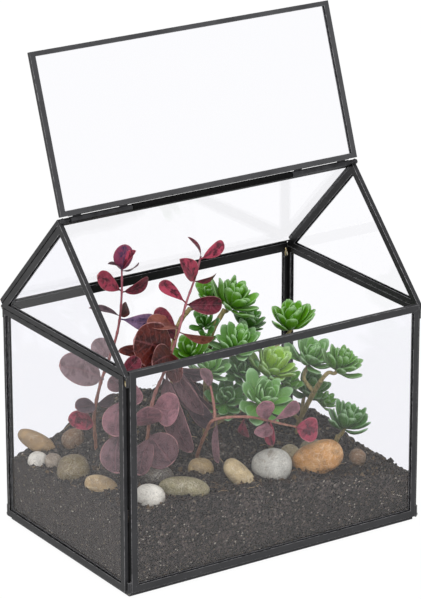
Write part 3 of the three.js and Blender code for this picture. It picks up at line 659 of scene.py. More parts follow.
def burgundy_blade(row, number):
    """One leaf of the burgundy plant, from its row in RED_LEAVES."""
    base, tip = np.array(row[0:3], float), np.array(row[3:6], float)
    width, roll, tone, form = row[6:]
    length = np.linalg.norm(tip - base)
    forward = (tip - base) / length
    normal = turned(unit(FACING - FACING.dot(forward) * forward), forward, math.radians(roll))
    draw = np.random.default_rng(number)
    shape = dict(
        LEAF_FORMS[form],
        thick=LEAF_THICK,
        thin=0.6,
        foot=LEAF_FOOT,
        curl=0.0,
        twist=draw.uniform(-0.25, 0.25),
        sway=draw.uniform(-0.05, 0.05),
        phase=draw.uniform(0, 6),
        waves=draw.uniform(1.0, 2.2),
    )
    shade = draw.uniform(*LEAF_SHADES)
    heart, edge = (np.array(colour(code)[:3]) * shade for code in LEAF_TONES[tone])
    return blade(base, forward, normal, length, width, shape, {"heart": heart, "edge": edge}, material=1)


# The route of each leafy stem, from the soil up.
RED_ROUTES = {
    "red_stem_left": [
        [-79, 33, 50], [-78, 34, 63], [-81, 31, 89], [-78, 27, 114], [-74, 24, 129], [-69, 20, 149],
        [-67, 17, 166], [-67, 14, 187], [-68, 12, 204],
    ],
    "red_stem_middle": [
        [-67, -14, 50], [-68, -19, 76], [-68, -24, 106], [-62, -22, 121], [-53, -18, 131], [-41, -13, 148],
        [-33, -9, 160], [-25, -5, 175], [-16, -2, 190], [-9, 0, 206],
    ],
    "red_stem_corner": [
        [-97, -32, 50], [-97, -32, 78], [-98, -34, 103], [-98, -36, 127], [-98, -36, 148],
    ],
    "red_stem_trailing": [
        [-26, -16, 48], [-27, -22, 64], [-30, -38, 88], [-30, -50, 102], [-10, -60, 103], [10, -63, 96],
        [19, -63, 92], [31, -62, 87],
    ],
}
RED_BRANCHES = {
    "red_stem_trailing": [[-30, -50, 102], [-27, -44, 110], [-26, -38, 123]],
}

# The leaves of each: base, tip, width, roll in degrees, tone and form.
RED_LEAVES = {
    "red_stem_left": [
        [-68, 12, 202, -66, 10, 223, 14, 10, "plum", "oval"],
        [-68, 12, 204, -61, 4, 219, 8, -35, "crimson", "folded"],
        [-68, 12, 203, -82, 8, 212, 5, 80, "dusk", "lance"],
        [-68, 12, 203, -50, 18, 204, 5, 80, "dusk", "lance"],
        [-67, 14, 187, -91, 8, 205, 13, 15, "crimson", "spoon"],
        [-67, 14, 186, -41, 20, 189, 11, 40, "wine", "oval"],
        [-67, 17, 166, -55, 26, 170, 10, 40, "maroon", "round"],
        [-67, 17, 167, -88, 25, 175, 8, 60, "dusk", "lance"],
        [-67, 17, 165, -46, 2, 163, 14, 10, "violet", "spoon"],
        [-76, 25, 118, -115, 22, 138, 24, 15, "haze", "round"],
        [-73, 23, 134, -80, 30, 148, 14, 10, "haze", "oval"],
        [-80, 30, 98, -101, 24, 102, 13, 30, "dusk", "oval"],
        [-80, 30, 98, -61, 36, 97, 11, 30, "dusk", "oval"],
        [-80, 32, 82, -106, 26, 93, 15, 20, "crimson", "oval"],
    ],
    "red_stem_middle": [
        [-9, 0, 205, -24, -6, 225, 6, 65, "wine", "lance"],
        [-9, 0, 204, 13, 4, 211, 10, 20, "crimson", "oval"],
        [-16, -2, 189, -33, -9, 211, 14, 25, "crimson", "lance"],
        [-16, -2, 189, 8, 6, 188, 7, 60, "wine", "lance"],
        [-25, -5, 174, 1, -12, 171, 14, 15, "wine", "folded"],
        [-25, -5, 175, -43, 2, 192, 10, 20, "crimson", "spoon"],
        [-39, -12, 151, -49, -4, 176, 13, 5, "wine", "round"],
        [-33, -9, 158, -66, -18, 171, 15, 50, "olive", "oval"],
        [-35, -10, 157, -8, -14, 147, 11, 45, "olive", "spoon"],
        [-42, -14, 144, -80, -22, 164, 33, 10, "maroon", "round"],
        [-42, -14, 141, -70, -30, 146, 20, 5, "maroon", "oval"],
        [-48, -16, 139, -84, -8, 152, 10, 30, "maroon", "oval"],
        [-48, -16, 138, -85, -28, 145, 12, 20, "maroon", "oval"],
        [-44, -14, 145, -46, -26, 126, 14, 20, "maroon", "oval"],
        [-49, -16, 136, -12, -14, 121, 12, 40, "dusk", "oval"],
        [-54, -18, 130, -33, -9, 103, 15, 20, "dusk", "oval"],
        [-50, -17, 133, -40, -33, 73, 18, 15, "mauve", "oval"],
        [-46, -15, 141, -18, -8, 92, 14, 15, "dusk", "oval"],
        [-43, -14, 143, -14, -2, 101, 15, 35, "dusk", "oval"],
        [-32, -6, 118, -6, -8, 76, 14, 25, "dusk", "oval"],
        [-24, -4, 112, 4, -4, 84, 12, 40, "mauve", "lance"],
        [-66, -22, 88, -84, -34, 66, 16, 20, "mauve", "oval"],
        [-46, -15, 137, -24, -26, 96, 13, 20, "mauve", "lance"],
        [-66, -24, 112, -52, -37, 110, 25, 10, "rose", "round"],
        [-68, -23, 97, -83, -43, 121, 20, 10, "rose", "round"],
        [-68, -22, 91, -62, -43, 73, 27, 10, "mauve", "round"],
    ],
    "red_stem_corner": [
        [-98, -36, 133, -104, -30, 144, 14, 10, "mauve", "oval"],
        [-98, -36, 128, -110, -44, 105, 21, 15, "rose", "oval"],
        [-98, -34, 104, -108, -42, 76, 22, 15, "mauve", "oval"],
        [-98, -36, 145, -92, -48, 127, 14, 15, "rose", "oval"],
        [-98, -36, 146, -87, -40, 158, 12, 15, "wine", "oval"],
    ],
    "red_stem_trailing": [
        [-26, -38, 121, -28, -30, 134, 9, 20, "mauve", "oval"],
        [-29, -51, 101, -38, -66, 76, 8, 45, "mauve", "oval"],
        [-12, -60, 103, -9, -57, 87, 10, 40, "wine", "spoon"],
        [6, -63, 97, -2, -69, 116, 14, 15, "rose", "spoon"],
        [6, -63, 97, -3, -70, 89, 14, 15, "rose", "spoon"],
        [9, -63, 96, 6, -68, 80, 9, 20, "crimson", "oval"],
        [10, -63, 96, 30, -67, 107, 10, 20, "rose", "spoon"],
        [30, -62, 87, 49, -64, 80, 18, 5, "crimson", "round"],
    ],
}


def add_burgundy_plant():
    """Each leafy stem as one piece, its seeds counted on from leaf to leaf over the whole plant."""
    finishes = [red_stem(), burgundy_leaf()]
    number = 0
    for name, route in RED_ROUTES.items():
        foot, end = RED_FOOT * RED_STEM_RADIUS, RED_END * RED_STEM_RADIUS
        skins = [stem(route, foot, end, RED_KNOTS, seed=number)]
        if name in RED_BRANCHES:
            end = RED_BRANCH_END * RED_STEM_RADIUS
            skins.append(stem(RED_BRANCHES[name], RED_STEM_RADIUS, end, RED_BRANCH_KNOTS))
        for row in RED_LEAVES[name]:
            number += 1
            skins.append(burgundy_blade(row, number))
        piece(f"{name}_leafy", skins, finishes, [name])


# ---- The green plant: branching stems that end in rosettes ----

# Each rosette is its centre, axis, radius, turn, number of leaves, spread in radians and tone.
ROSETTES = {
    "rosette_top": ([29, 10, 168], [0.35, -0.3, 0.88], 24, 0.4, 28, 1.05, "fresh"),
    "rosette_behind": ([22, 38, 162], [-0.3, -0.3, 0.9], 15, 1.1, 16, 0.9, "fresh"),
    "rosette_back": ([58, 36, 136], [0.45, -0.35, 0.8], 19, 2.0, 20, 1.1, "deep"),
    "rosette_middle": ([20, -6, 140], [0.0, -0.4, 0.9], 23, 0.9, 26, 1.1, "frosted"),
    "rosette_high": ([81, 15, 139], [0.05, -0.2, 0.98], 23, 1.7, 28, 0.8, "lively"),
    "rosette_bright": ([45, -16, 121], [0.2, -0.35, 0.9], 24, 2.6, 28, 1.1, "lime"),
    "rosette_blue": ([90, 2, 112], [0.0, -0.4, 0.9], 22, 0.2, 28, 1.05, "frosted"),
    "rosette_spiky": ([96, -30, 116], [0.35, -0.3, 0.88], 20, 3.0, 26, 1.1, "fresh"),
    "rosette_low": ([93, -42, 76], [0.25, -0.2, 0.94], 22, 1.3, 26, 1.1, "deep"),
    "rosette_shaded": ([95, 10, 83], [0.1, -0.5, 0.85], 21, 0.7, 22, 1.1, "deep"),
    "rosette_front": ([22, -40, 107], [0.05, -0.6, 0.8], 25, 2.2, 26, 1.3, "frosted"),
    "rosette_dark": ([8, -8, 98], [-0.3, -0.6, 0.7], 20, 1.9, 22, 1.3, "deep"),
    "rosette_left": ([-3, -2, 125], [-0.1, -0.35, 0.92], 21, 0.1, 24, 1.15, "frosted"),
}

# Younger rosettes beside them: the rosette whose piece they join, then as above.
SIDE_ROSETTES = [
    ("rosette_left", [-17, 4, 136], [-0.4, -0.4, 0.8], 18, 0.8, 18, 1.1, "fresh"),
    ("rosette_left", [4, 16, 150], [-0.4, -0.4, 0.85], 14, 2.1, 12, 1.0, "deep"),
    ("rosette_left", [0, 8, 141], [-0.5, -0.5, 0.7], 11, 0.3, 10, 1.2, "deep"),
    ("rosette_bright", [21, -8, 117], [-0.2, -0.6, 0.75], 18, 1.2, 18, 1.2, "deep"),
    ("rosette_blue", [66, -2, 97], [-0.1, -0.6, 0.75], 15, 1.2, 14, 1.2, "fresh"),
    ("rosette_shaded", [103, 0, 72], [0.4, -0.5, 0.75], 13, 2.4, 14, 1.1, "fresh"),
]

# Heart and edge colours of the rosettes' leaves.
ROSETTE_TONES = {
    "fresh": ("54900a", "659b38"),
    "lively": ("5a9c08", "659b2a"),
    "lime": ("98c02e", "80aa44"),
    "frosted": ("5f9b24", "78a468"),
    # Painted shade: a darker green for the rosettes that sit in the shade of the others.
    "deep": ("437a20", "4f813c"),
}

FLESHY = dict(
    taper=1.15, roundness=0.62, stalk=0.0, foot=0.7, cup=0.36, thin=0.5, bow=-0.1, ripple=0.08, waves=1.5
)


def rosette_leaves(centre, axis, radius, turn, count, spread, tone):
    """Leaves round an axis at the golden angle, the inner ones short and upright, the outer long and spread.

    A leaf's share runs from 0 in the heart to 1 at the rim. It leans from the axis by
    0.1 + spread share^0.85 radians, its foot slides down the axis with its share, and its tip curls back
    towards the heart. A young leaf keeps more of the heart's colour at its tip.
    """
    up = unit(axis)
    across = unit(np.cross([1, 0, 0], up))
    away = np.cross(up, across)
    draw = np.random.default_rng(int(100 * turn) + count)
    heart, edge = (np.array(colour(code)[:3]) for code in ROSETTE_TONES[tone])
    skins = []
    for i in range(count):
        share = i / (count - 1)
        angle = turn + i * GOLDEN_ANGLE + draw.uniform(-0.15, 0.15)
        lean = 0.1 + spread * share**0.85 + draw.uniform(-0.2, 0.2)
        out = across * math.cos(angle) + away * math.sin(angle)
        forward = up * math.cos(lean) + out * math.sin(lean)
        normal = up * math.sin(lean) - out * math.cos(lean)
        foot = np.array(centre) - up * (0.38 + 0.2 * share) * radius
        length = (0.72 + 0.33 * share) * radius * draw.uniform(0.84, 1.12)
        width = (0.3 + 0.15 * share) * radius * draw.uniform(0.85, 1.15)
        shape = dict(
            FLESHY,
            thick=0.09 * radius,
            curl=0.04 + draw.uniform(-0.1, 0.1),
            sway=draw.uniform(-0.07, 0.07),
            twist=draw.uniform(-0.4, 0.4),
            phase=draw.uniform(0, 6),
        )
        young = 0.65 * (1 - share)
        tip = (young * heart + (1 - young) * edge) * (1.15 - 0.25 * share) * draw.uniform(0.85, 1.12)
        marks = {"heart": heart * (1.3 - 0.5 * share), "edge": tip}
        skins.append(blade(foot, forward, normal, length, width, shape, marks, rings=9, sides=10))
    return skins


def branch_to(rosette, start, *by):
    """The branch from a point on a stem, by way of any others, up a rosette's axis to its foot."""
    centre, axis, radius = ROSETTES[rosette][:3]
    up = unit(axis)
    foot = np.array(centre) - 0.3 * radius * up
    under = foot - 0.15 * radius * up - 5 * up
    thin = GREEN_END * GREEN_BRANCH_RADIUS
    return stem([start, *by, under, foot], GREEN_BRANCH_RADIUS, thin, GREEN_KNOTS)


# The route of each woody stem, from the soil up.
GREEN_ROUTES = {
    "right": [[82, 9, 36], [82, 8, 52], [81, 2, 63], [82, -12, 86], [83, -20, 98]],
    "left": [[-3, 5, 54], [-3, 4, 68], [0, 8, 90], [6, 13, 118], [8, 12, 140], [20, 13, 156]],
    "back": [[-26, 14, 54], [-26, 14, 70], [-24, 16, 94], [-21, 18, 135], [-12, 23, 150], [2, 32, 154]],
    "low": [[86, -27, 32], [87, -30, 46], [88, -35, 58]],
}

# The branches of each stem: the rosette, and the points that the branch leaves from and passes.
GREEN_BRANCHES = {
    "right": [
        ["rosette_spiky", [83, -19, 97], [87, -23, 104]],
        ["rosette_blue", [82, -12, 86], [80, -2, 94]],
        ["rosette_shaded", [81, 2, 63]],
        ["rosette_high", [81, 5, 58], [64, 12, 84], [60, 14, 110]],
        ["rosette_back", [60, 14, 108]],
    ],
    "left": [
        ["rosette_top", [18, 13, 154]],
        ["rosette_middle", [6, 13, 112], [13, 9, 121]],
        ["rosette_left", [0, 8, 92], [-2, 6, 106]],
        ["rosette_dark", [-2, 6, 78]],
        ["rosette_front", [-3, 4, 70], [14, -2, 79], [25, -16, 90]],
        ["rosette_bright", [-2, 5, 74], [20, 2, 84], [38, -3, 102]],
    ],
    "back": [["rosette_behind", [0, 31, 154]]],
    "low": [["rosette_low", [88, -34, 56]]],
}


def add_green_plant():
    """Each rosette as a piece with its young ones, and each woody stem with its branches."""
    leaf_skin, bark = fleshy_leaf_skin(), green_bark()
    for name, row in ROSETTES.items():
        skins = rosette_leaves(*row)
        for beside, *young in SIDE_ROSETTES:
            if beside == name:
                skins += rosette_leaves(*young)
        piece(f"{name}_leaves", skins, [leaf_skin], [name])
    for seed, (name, route) in enumerate(GREEN_ROUTES.items()):
        thin = GREEN_END * GREEN_STEM_RADIUS
        skins = [stem(route, GREEN_STEM_RADIUS, thin, GREEN_KNOTS, 12, seed)]
        skins += [branch_to(*branch) for branch in GREEN_BRANCHES[name]]
        piece(f"green_stem_{name}_woody", skins, [bark], [f"green_stem_{name}"])


# ---- Pebbles ----

# Each pebble is its centre, half lengths, turn about Z, tilt, squareness, and its stone's colours and grain.
PEBBLES = {
    "pebble_tan_long": ([-106.5, 71, 61], [14.8, 7, 7], -33, -32, 2.3, "ab8e64", "7f6440", 0.15, 0.1),
    "pebble_white_left": ([-112.5, 59, 50], [7.8, 8, 8.5], 0, 0, 2.1, "e2ded2", "bdb7a8", 0.25, -0.1),
    "pebble_grey_left": ([-107, 46, 54], [6.5, 6, 7], 20, 0, 2.1, "8d7f6f", "a59a88", 0.25, 0.0),
    "pebble_olive_left": ([-107, 18, 57], [12, 11, 12], -33, 0, 2.2, "766740", "5a4e30", 0.25, 0.1),
    "pebble_brown_left": ([-84, 56, 62], [9, 8, 8], -20, 10, 2.2, "836445", "574028", 0.2, 0.1),
    "pebble_tan_left": ([-107, -20, 58], [12, 8, 7], -40, -12, 2.2, "a88c60", "c8b48c", 0.15, 0.05),
    "pebble_white_front": ([-96, -68, 64], [10, 9, 10], -33, 0, 2.2, "e0dccf", "c9c3b4", 0.35, -0.1),
    "pebble_olive_front": ([-66, -64, 63], [17, 9, 8.5], -33, -6, 2.15, "87805c", "9b9374", 0.3, 0.05),
    "pebble_dark": ([-68, -33, 62], [12, 9, 7], -33, 0, 2.1, "4f4a43", "6b655c", 0.3, 0.0),
    "pebble_tan_back": ([-32, -35, 60], [10, 8, 7], -33, 0, 2.1, "a48c5f", "8a7349", 0.2, 0.05),
    "pebble_beige": ([-17, -62, 60], [14.5, 7.5, 7.5], -33, -47, 2.4, "c9b58a", "a08a63", 0.2, 0.1),
    "pebble_light_grey": ([12, -59, 59], [14.5, 12, 13], -33, 0, 2.1, "bdbcb2", "a3a298", 0.4, -0.05),
    "pebble_grey_tan": ([43.5, -37, 52], [8, 6.5, 9], -33, 0, 2.1, "a69a78", "8c8163", 0.2, 0.0),
    "pebble_orange": ([53, -60, 57], [18, 10.5, 12.5], -33, 26, 2.6, "bb8545", "cfa674", 0.15, 0.05),
    "pebble_olive_back": ([71, -26, 50], [9, 7, 6], -33, 5, 2.1, "80755a", "6a6049", 0.25, 0.0),
    "pebble_brown_right": ([95, -49, 44], [6.5, 6, 6.5], 0, 0, 2.1, "8b6b4c", "6f5238", 0.25, 0.1),
}


def pebble_skin(centre, halves, yaw, tilt, squareness, number):
    """A smooth stone.

    A direction is pushed out to the surface |x|^p + |y|^p + |z|^p = 1, with p the squareness, and further by
    two slow bulges of a twentieth and shallow dents. Then it is scaled by the half lengths, tilted along its
    length and turned about Z. The rise goes from -1 at the lowest point to 1 at the highest.
    """
    rings, around = 24, 36
    ways = np.concatenate([ball_ways(rings, around).reshape(-1, 3), [[0, 0, -1]], [[0, 0, 1]]])
    reach = (np.abs(ways) ** squareness).sum(1) ** (-1 / squareness)
    x, y, z = ways.T
    bulge = 1 + 0.05 * np.sin(2.3 * x + 1.7 * number) + 0.05 * np.cos(2.9 * y + z + number)
    dents = 0.012 * np.sin(7 * x + 5 * z + number) * np.cos(6 * y - 4 * z)
    points = ways * column(reach * (bulge + dents)) * np.array(halves)
    a, b = math.radians(yaw), math.radians(-tilt)
    tilted = np.array([[math.cos(b), 0, math.sin(b)], [0, 1, 0], [-math.sin(b), 0, math.cos(b)]])
    swung = np.array([[math.cos(a), -math.sin(a), 0], [math.sin(a), math.cos(a), 0], [0, 0, 1]])
    points = points @ (swung @ tilted).T
    rise = (points[:-2, 2] / np.abs(points[:, 2]).max()).reshape(rings, around, 1)
    points = points + np.array(centre)
    return closed_skin(points[:-2].reshape(rings, around, 3), points[-2], points[-1], rise=rise)


def add_pebbles():
    """Each pebble as a piece with a stone of its own."""
    for number, (name, row) in enumerate(PEBBLES.items()):
        skin = pebble_skin(*row[:5], number)
        piece(f"{name}_worn", [skin], [stone(name, *row[5:])], [name])


# ---- Soil ----

SOIL_CELL = 1.6  # of the grid over the soil's top
WALL_STEPS = 28  # from the top down to the floor
PIT_DEPTH, PIT_CELL = 0.45, 2.6  # of the pits in its walls
SLOPE_HALF = (122, 82)  # half the length and depth that the soil's slopes run over
FRONT_HEIGHT, REAR_HEIGHT = 54, 44
MOUND_HEIGHT, HEAP_HEIGHT = 34, 6
SOIL_HEAPS = [(112, 38, 30, 26), (-104, 70, 18, 20)]  # the middle and the reach of each
# Clods, lumps and crumbs on the soil: their height and width, and where their lattice starts.
SOIL_LUMPS = [(1.6, 9.0, 0.0, 0.0), (1.3, 4.0, 3.1, -1.7), (0.9, 1.9, -0.7, 2.3)]
CRUMB_COUNT = 4200
CRUMB_SIZES = (0.4, 3.2)  # least and greatest reach from a crumb's middle, before it is squashed
FIBRE_COUNT = 110
FIBRE_LENGTHS = (4, 11)
FIBRE_RADII = (0.15, 0.35)


def soil_height(x, y):
    """Height of the soil: higher in front and at the left, with a mound behind and a heap at two corners.

    It goes evenly from front to rear. The mound falls off as exp(-|u|^4 - v^2), where v is nothing from
    60 mm behind the middle, and a heap as exp(-u^2 - v^2).
    """
    across = x / SLOPE_HALF[0]
    along = (y + SLOPE_HALF[1]) / (2 * SLOPE_HALF[1])
    front = FRONT_HEIGHT - 14 * across - 5 * across**2
    rear = REAR_HEIGHT - 2 * across
    mound = MOUND_HEIGHT * np.exp(-(np.abs((x + 8) / 74) ** 4) - (np.maximum(0, 60 - y) / 70) ** 2)
    height = front * (1 - along) + rear * along + mound
    for middle_x, middle_y, reach_x, reach_y in SOIL_HEAPS:
        u, v = (x - middle_x) / reach_x, (y - middle_y) / reach_y
        height = height + HEAP_HEIGHT * np.exp(-(u**2) - v**2)
    return height


def on_soil(x, y):
    """Points on the soil, raised and lowered by its clods, lumps and crumbs."""
    lumps = 0
    for seed, (height, width, start_x, start_y) in enumerate(SOIL_LUMPS, 1):
        lumps = lumps + height * lattice_noise(x + start_x, y + start_y, width, seed)
    return np.stack([x, y, soil_height(x, y) + lumps], -1)


def soil_block():
    """A block of soil that fills the floor: a square grid for its top, and its rim carried down in steps.

    The rim's points run anticlockwise round the grid, and each step down moves them in by random pits.
    """
    counts = np.rint(2 * SOIL_HALF / SOIL_CELL).astype(int)
    top = on_soil(*np.meshgrid(*(np.linspace(-half, half, n + 1) for half, n in zip(SOIL_HALF, counts))))
    index = np.arange(top[..., 0].size).reshape(top.shape[:2])
    faces = np.stack([index[:-1, :-1], index[:-1, 1:], index[1:, 1:], index[1:, :-1]], -1).reshape(-1, 4)
    rim = np.concatenate([index[0, :-1], index[:-1, -1], index[-1, :0:-1], index[:0:-1, 0]])
    edge = top.reshape(-1, 3)[rim]
    down = np.linspace(0, 1, WALL_STEPS + 1)[1:, None, None]
    wall = edge * (1 - down) + (edge * [1, 1, 0] + [0, 0, SOIL_BOTTOM]) * down
    along = np.arange(len(rim)) * SOIL_CELL + 0 * down[..., 0]
    pits = PIT_DEPTH * (1 + lattice_noise(along, wall[..., 2], PIT_CELL, 4))
    wall = wall + column(np.where(down[..., 0] < 1, pits, 0)) * unit(edge * [-1, -1, 0])
    middle = index.size + WALL_STEPS * len(rim)
    ring = np.concatenate([rim[None], np.arange(index.size, middle).reshape(WALL_STEPS, -1)])
    after = np.roll(ring, -1, axis=1)
    sides = np.stack([ring[:-1], ring[1:], after[1:], after[:-1]], -1).reshape(-1, 4)
    fan = np.stack([ring[-1], np.full(len(rim), middle), after[-1]], -1)
    points = np.concatenate([top.reshape(-1, 3), wall.reshape(-1, 3), [[0, 0, SOIL_BOTTOM]]])
    return skin_of(points, np.concatenate([faces, sides]), fan)


def scattered(count, draw):
    """Random places on the soil, 2 mm or more from its edges."""
    return on_soil(*(draw.uniform(2 - half, half - 2, count) for half in SOIL_HALF))


def random_turns(count, draw):
    """Random turns as matrices, from random unit quaternions."""
    w, x, y, z = unit(draw.normal(size=(count, 4))).T
    rows = [
        [1 - 2 * (y * y + z * z), 2 * (x * y - z * w), 2 * (x * z + y * w)],
        [2 * (x * y + z * w), 1 - 2 * (x * x + z * z), 2 * (y * z - x * w)],
        [2 * (x * z - y * w), 2 * (y * z + x * w), 1 - 2 * (x * x + y * y)],
    ]
    return np.moveaxis(np.array(rows), -1, 0)


def crumb_skins(count, draw):
    """Loose crumbs: squashed eight-faced lumps with uneven corners, at random places, sizes and turns."""
    corners = np.array([[1, 0, 0], [0, 1, 0], [-1, 0, 0], [0, -1, 0], [0, 0, -1], [0, 0, 1]], float)
    size = np.exp(draw.normal(-0.05, 0.5, count)).clip(*CRUMB_SIZES)
    uneven = draw.uniform(0.65, 1.25, (count, 6, 1))
    stretch = draw.uniform(0.6, 1.3, (count, 1, 3))
    local = corners * uneven * stretch * size[:, None, None]
    spots = scattered(count, draw) + column(size) * [0, 0, 0.25]
    points = np.einsum("nij,nkj->nki", random_turns(count, draw), local) + spots[:, None]
    points = points.reshape(-1, 3)
    points[:, :2] = points[:, :2].clip(-SOIL_HALF, SOIL_HALF)
    own = column(np.repeat(draw.uniform(0, 1, count), 6))
    i = np.arange(4)
    j = (i + 1) % 4
    faces = np.concatenate([np.stack([0 * i + 4, j, i], -1), np.stack([0 * i + 5, i, j], -1)])
    tris = (faces + 6 * np.arange(count)[:, None, None]).reshape(-1, 3)
    return skin_of(points, np.zeros((0, 4), int), tris, marks={"own": own})


def fibre_skin(place, draw):
    """A strand of bark or coir, lying on the soil in a shallow arc and thinner towards one end."""
    heading = draw.uniform(0, 2 * math.pi)
    length = draw.uniform(*FIBRE_LENGTHS)
    way = np.array([math.cos(heading), math.sin(heading), 0])
    side = np.array([-way[1], way[0], 0])
    t = np.linspace(0, 1, 6)
    bend = draw.uniform(-0.3, 0.3) * length
    path = place + column(t * length) * way + column(bend * t * (1 - t)) * side
    path[:, :2] = path[:, :2].clip(1 - SOIL_HALF, SOIL_HALF - 1)
    path[:, 2] = soil_height(path[:, 0], path[:, 1]) + 1.0 + draw.uniform(0, 1.2) * np.sin(math.pi * t)
    angle = round_angles(4)
    ring = column(np.cos(angle)) * side + column(np.sin(angle)) * [0, 0, 1]
    thick = draw.uniform(*FIBRE_RADII) * (1 - 0.6 * t)
    rings = path[:, None] + thick[:, None, None] * ring[::-1]
    return closed_skin(rings, path[0], path[-1], own=[draw.uniform(0, 1)])


def add_soil():
    """The block of soil, and the crumbs and fibres that lie loose on it."""
    draw = np.random.default_rng(7)
    piece("potting_soil_block", [soil_block()], [potting_soil()], ["soil"])
    piece("soil_crumbs", [crumb_skins(CRUMB_COUNT, draw)], [loose_crumb()], smooth=False)
    fibres = [fibre_skin(place, draw) for place in scattered(FIBRE_COUNT, draw)]
    piece("soil_fibres", fibres, [bark_fibre()])


# ---- The case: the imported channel, panes and hinge with their finishes, and solder at the corners ----

CHANNEL_EDGE = 0.22  # radius of the bend along each edge of the channel
WELD_REACH = 0.01
SHARP_EDGE = 40  # least angle between faces at an edge that is rounded, in degrees


def finish_packed(obj, *materials):
    """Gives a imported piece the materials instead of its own."""
    obj.data.materials.clear()
    for material in materials:
        obj.data.materials.append(material)


def round_edges(obj):
    """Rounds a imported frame's edges, as the rolled channel's are, and gives them its second material."""
    weld = obj.modifiers.new("weld", "WELD")
    weld.merge_threshold = WELD_REACH * MM
    rounded = obj.modifiers.new("rounded_edges", "BEVEL")
    rounded.width = CHANNEL_EDGE * MM
    rounded.segments = 2
    rounded.material = 1
    rounded.limit_method = "ANGLE"
    rounded.angle_limit = math.radians(SHARP_EDGE)
    rounded.harden_normals = False


def dress_case():
    """Enamel on the frames, a little paler on the lid as painted light, clear glass in the panes and steel on
    the hinge.
    """
    # The last colour is a painted shade on the faces that look in to the middle of the case.
    paint = channel_paint("channel_paint", "28282a", "343436", "0d0d0e")
    # Painted light: the lid's enamel is a paler copy of the frames', for the light the lid catches.
    lit_lid_paint = channel_paint("lit_lid_paint", "3a3a3c", "49494b")
    worn_edge_highlight, steel, pane = rubbed_edge_highlight(), hinge_steel(), pane_glass()
    for name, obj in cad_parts.items():
        if name.endswith("_frame"):
            # The second material, on the rounded edges, is partly a painted highlight.
            finish_packed(obj, lit_lid_paint if name == "lid_frame" else paint, worn_edge_highlight)
            round_edges(obj)
        elif name.endswith("_glass"):
            finish_packed(obj, pane)
        elif name.startswith("hinge"):
            finish_packed(obj, steel)


def bead_skin(centre, halves, seed):
    """A bead of solder: a ball with the given half lengths and slow lumps of up to a fifth."""
    ways = ball_ways(10, 16)
    x, y, z = np.moveaxis(ways, -1, 0)
    lumps = 1 + 0.12 * np.sin(3.1 * x + 2.3 * z + seed) + 0.1 * np.cos(3.7 * y - 2.9 * z + 1.7 * seed)
    points = ways * column(lumps) * np.array(halves) + np.array(centre)
    low, high = (np.array(centre) + [0, 0, end * halves[2]] for end in (-1, 1))
    return closed_skin(points, low, high)


# Beads of solder: centre and half lengths. The bright ones are bare metal, the others were painted over.
BRIGHT_BEADS = [
    ([-123.9, -82.9, 160.5], [1.3, 1.3, 3.2]),
    ([120.5, 81.0, 161.0], [1.4, 1.4, 3.6]),
    ([-125.4, -79.5, 163.0], [0.5, 0.8, 0.8]),
]
PAINTED_BEADS = [
    ([side_x * 123.9, side_y * 82.9, height], [1.7, 1.7, 1.9])
    for side_x in (-1, 1)
    for side_y in (-1, 1)
    for height in (4.2, 164.6)
]


def add_solder():
    """The bright and the painted beads, a piece of each."""
    bright = [bead_skin(centre, halves, i) for i, (centre, halves) in enumerate(BRIGHT_BEADS)]
    piece("corner_solder_bright", bright, [solder_metal()])
    dull = [bead_skin(centre, halves, i) for i, (centre, halves) in enumerate(PAINTED_BEADS)]
    piece("corner_solder_painted", dull, [painted_solder()])


# Black lines in the seams between the frames, a painted shade for the shade in their grooves, which also
# closes the gaps: the two ends of each, and its radius.
SEAMS = [
    ([-122.5, -81.5, 5], [-122.5, -81.5, 56], 0.55),
    ([-122.5, -81.5, 66], [-122.5, -81.5, 164], 0.55),
    *[([x, y, 5], [x, y, 164], 0.55) for x, y in ((122.5, -81.5), (-122.5, 81.5), (122.5, 81.5))],
    *[([x, 82.0, 168.9], [x, 3.5, 248.3], 0.5) for x in (-125.7, 125.7)],
    ([-122.0, 82.6, 168.3], [122.0, 82.6, 168.3], 0.6),
    *[([x, -81.0, 165.6], [x, 81.0, 165.6], 0.45) for x in (-125.7, 125.7)],
    ([-125.0, -81.5, 3.6], [-125.0, 81.5, 3.6], 0.5),
    ([-122.0, -84.0, 3.6], [122.0, -84.0, 3.6], 0.5),
]
SEAM_KNOTS = 0.3
HINGE_SHADE_RADIUS = 2.3  # of the black bar on the hinge rod, between its two tubes: a painted shade for the shade in the gap there
HINGE_SHADE_HALF = 67.0
HINGE_AXIS = [-1.6, 254.0]
EDGE_SHADE_RADIUS = 0.5  # of the black bar along the lid's lower edge: a painted shade for the shade in the gap below it
EDGE_SHADE_HALF = 119.0
EDGE_SHADE_LINE = [-0.61, 256.78]  # 2.95 mm out from the axis


def bar(half, line, radius, sides):
    """A plain round bar along X, from -half to half, through a point of the YZ plane."""
    return stem([[-half, *line], [half, *line]], radius, radius, 0.0, sides)


def add_seams():
    """Black lines of painted shade in the seams, with slight swellings, and plain black bars of painted shade
    at the hinge and along the lid's lower edge.
    """
    shade_filler = painted_shade_filler()
    lines = []
    for seed, (start, end, radius) in enumerate(SEAMS):
        lines.append(stem([start, end], radius, radius, SEAM_KNOTS, 8, seed))
    edge_shade = bar(EDGE_SHADE_HALF, EDGE_SHADE_LINE, EDGE_SHADE_RADIUS, 10)
    hinge_shade = bar(HINGE_SHADE_HALF, HINGE_AXIS, HINGE_SHADE_RADIUS, 14)
    piece("painted_shade_seams", lines, [shade_filler])
    piece("lid_edge_shade", [edge_shade], [shade_filler], body="lid")
    piece("hinge_gap_shade", [hinge_shade], [shade_filler])


# ---- Floor, light and camera ----

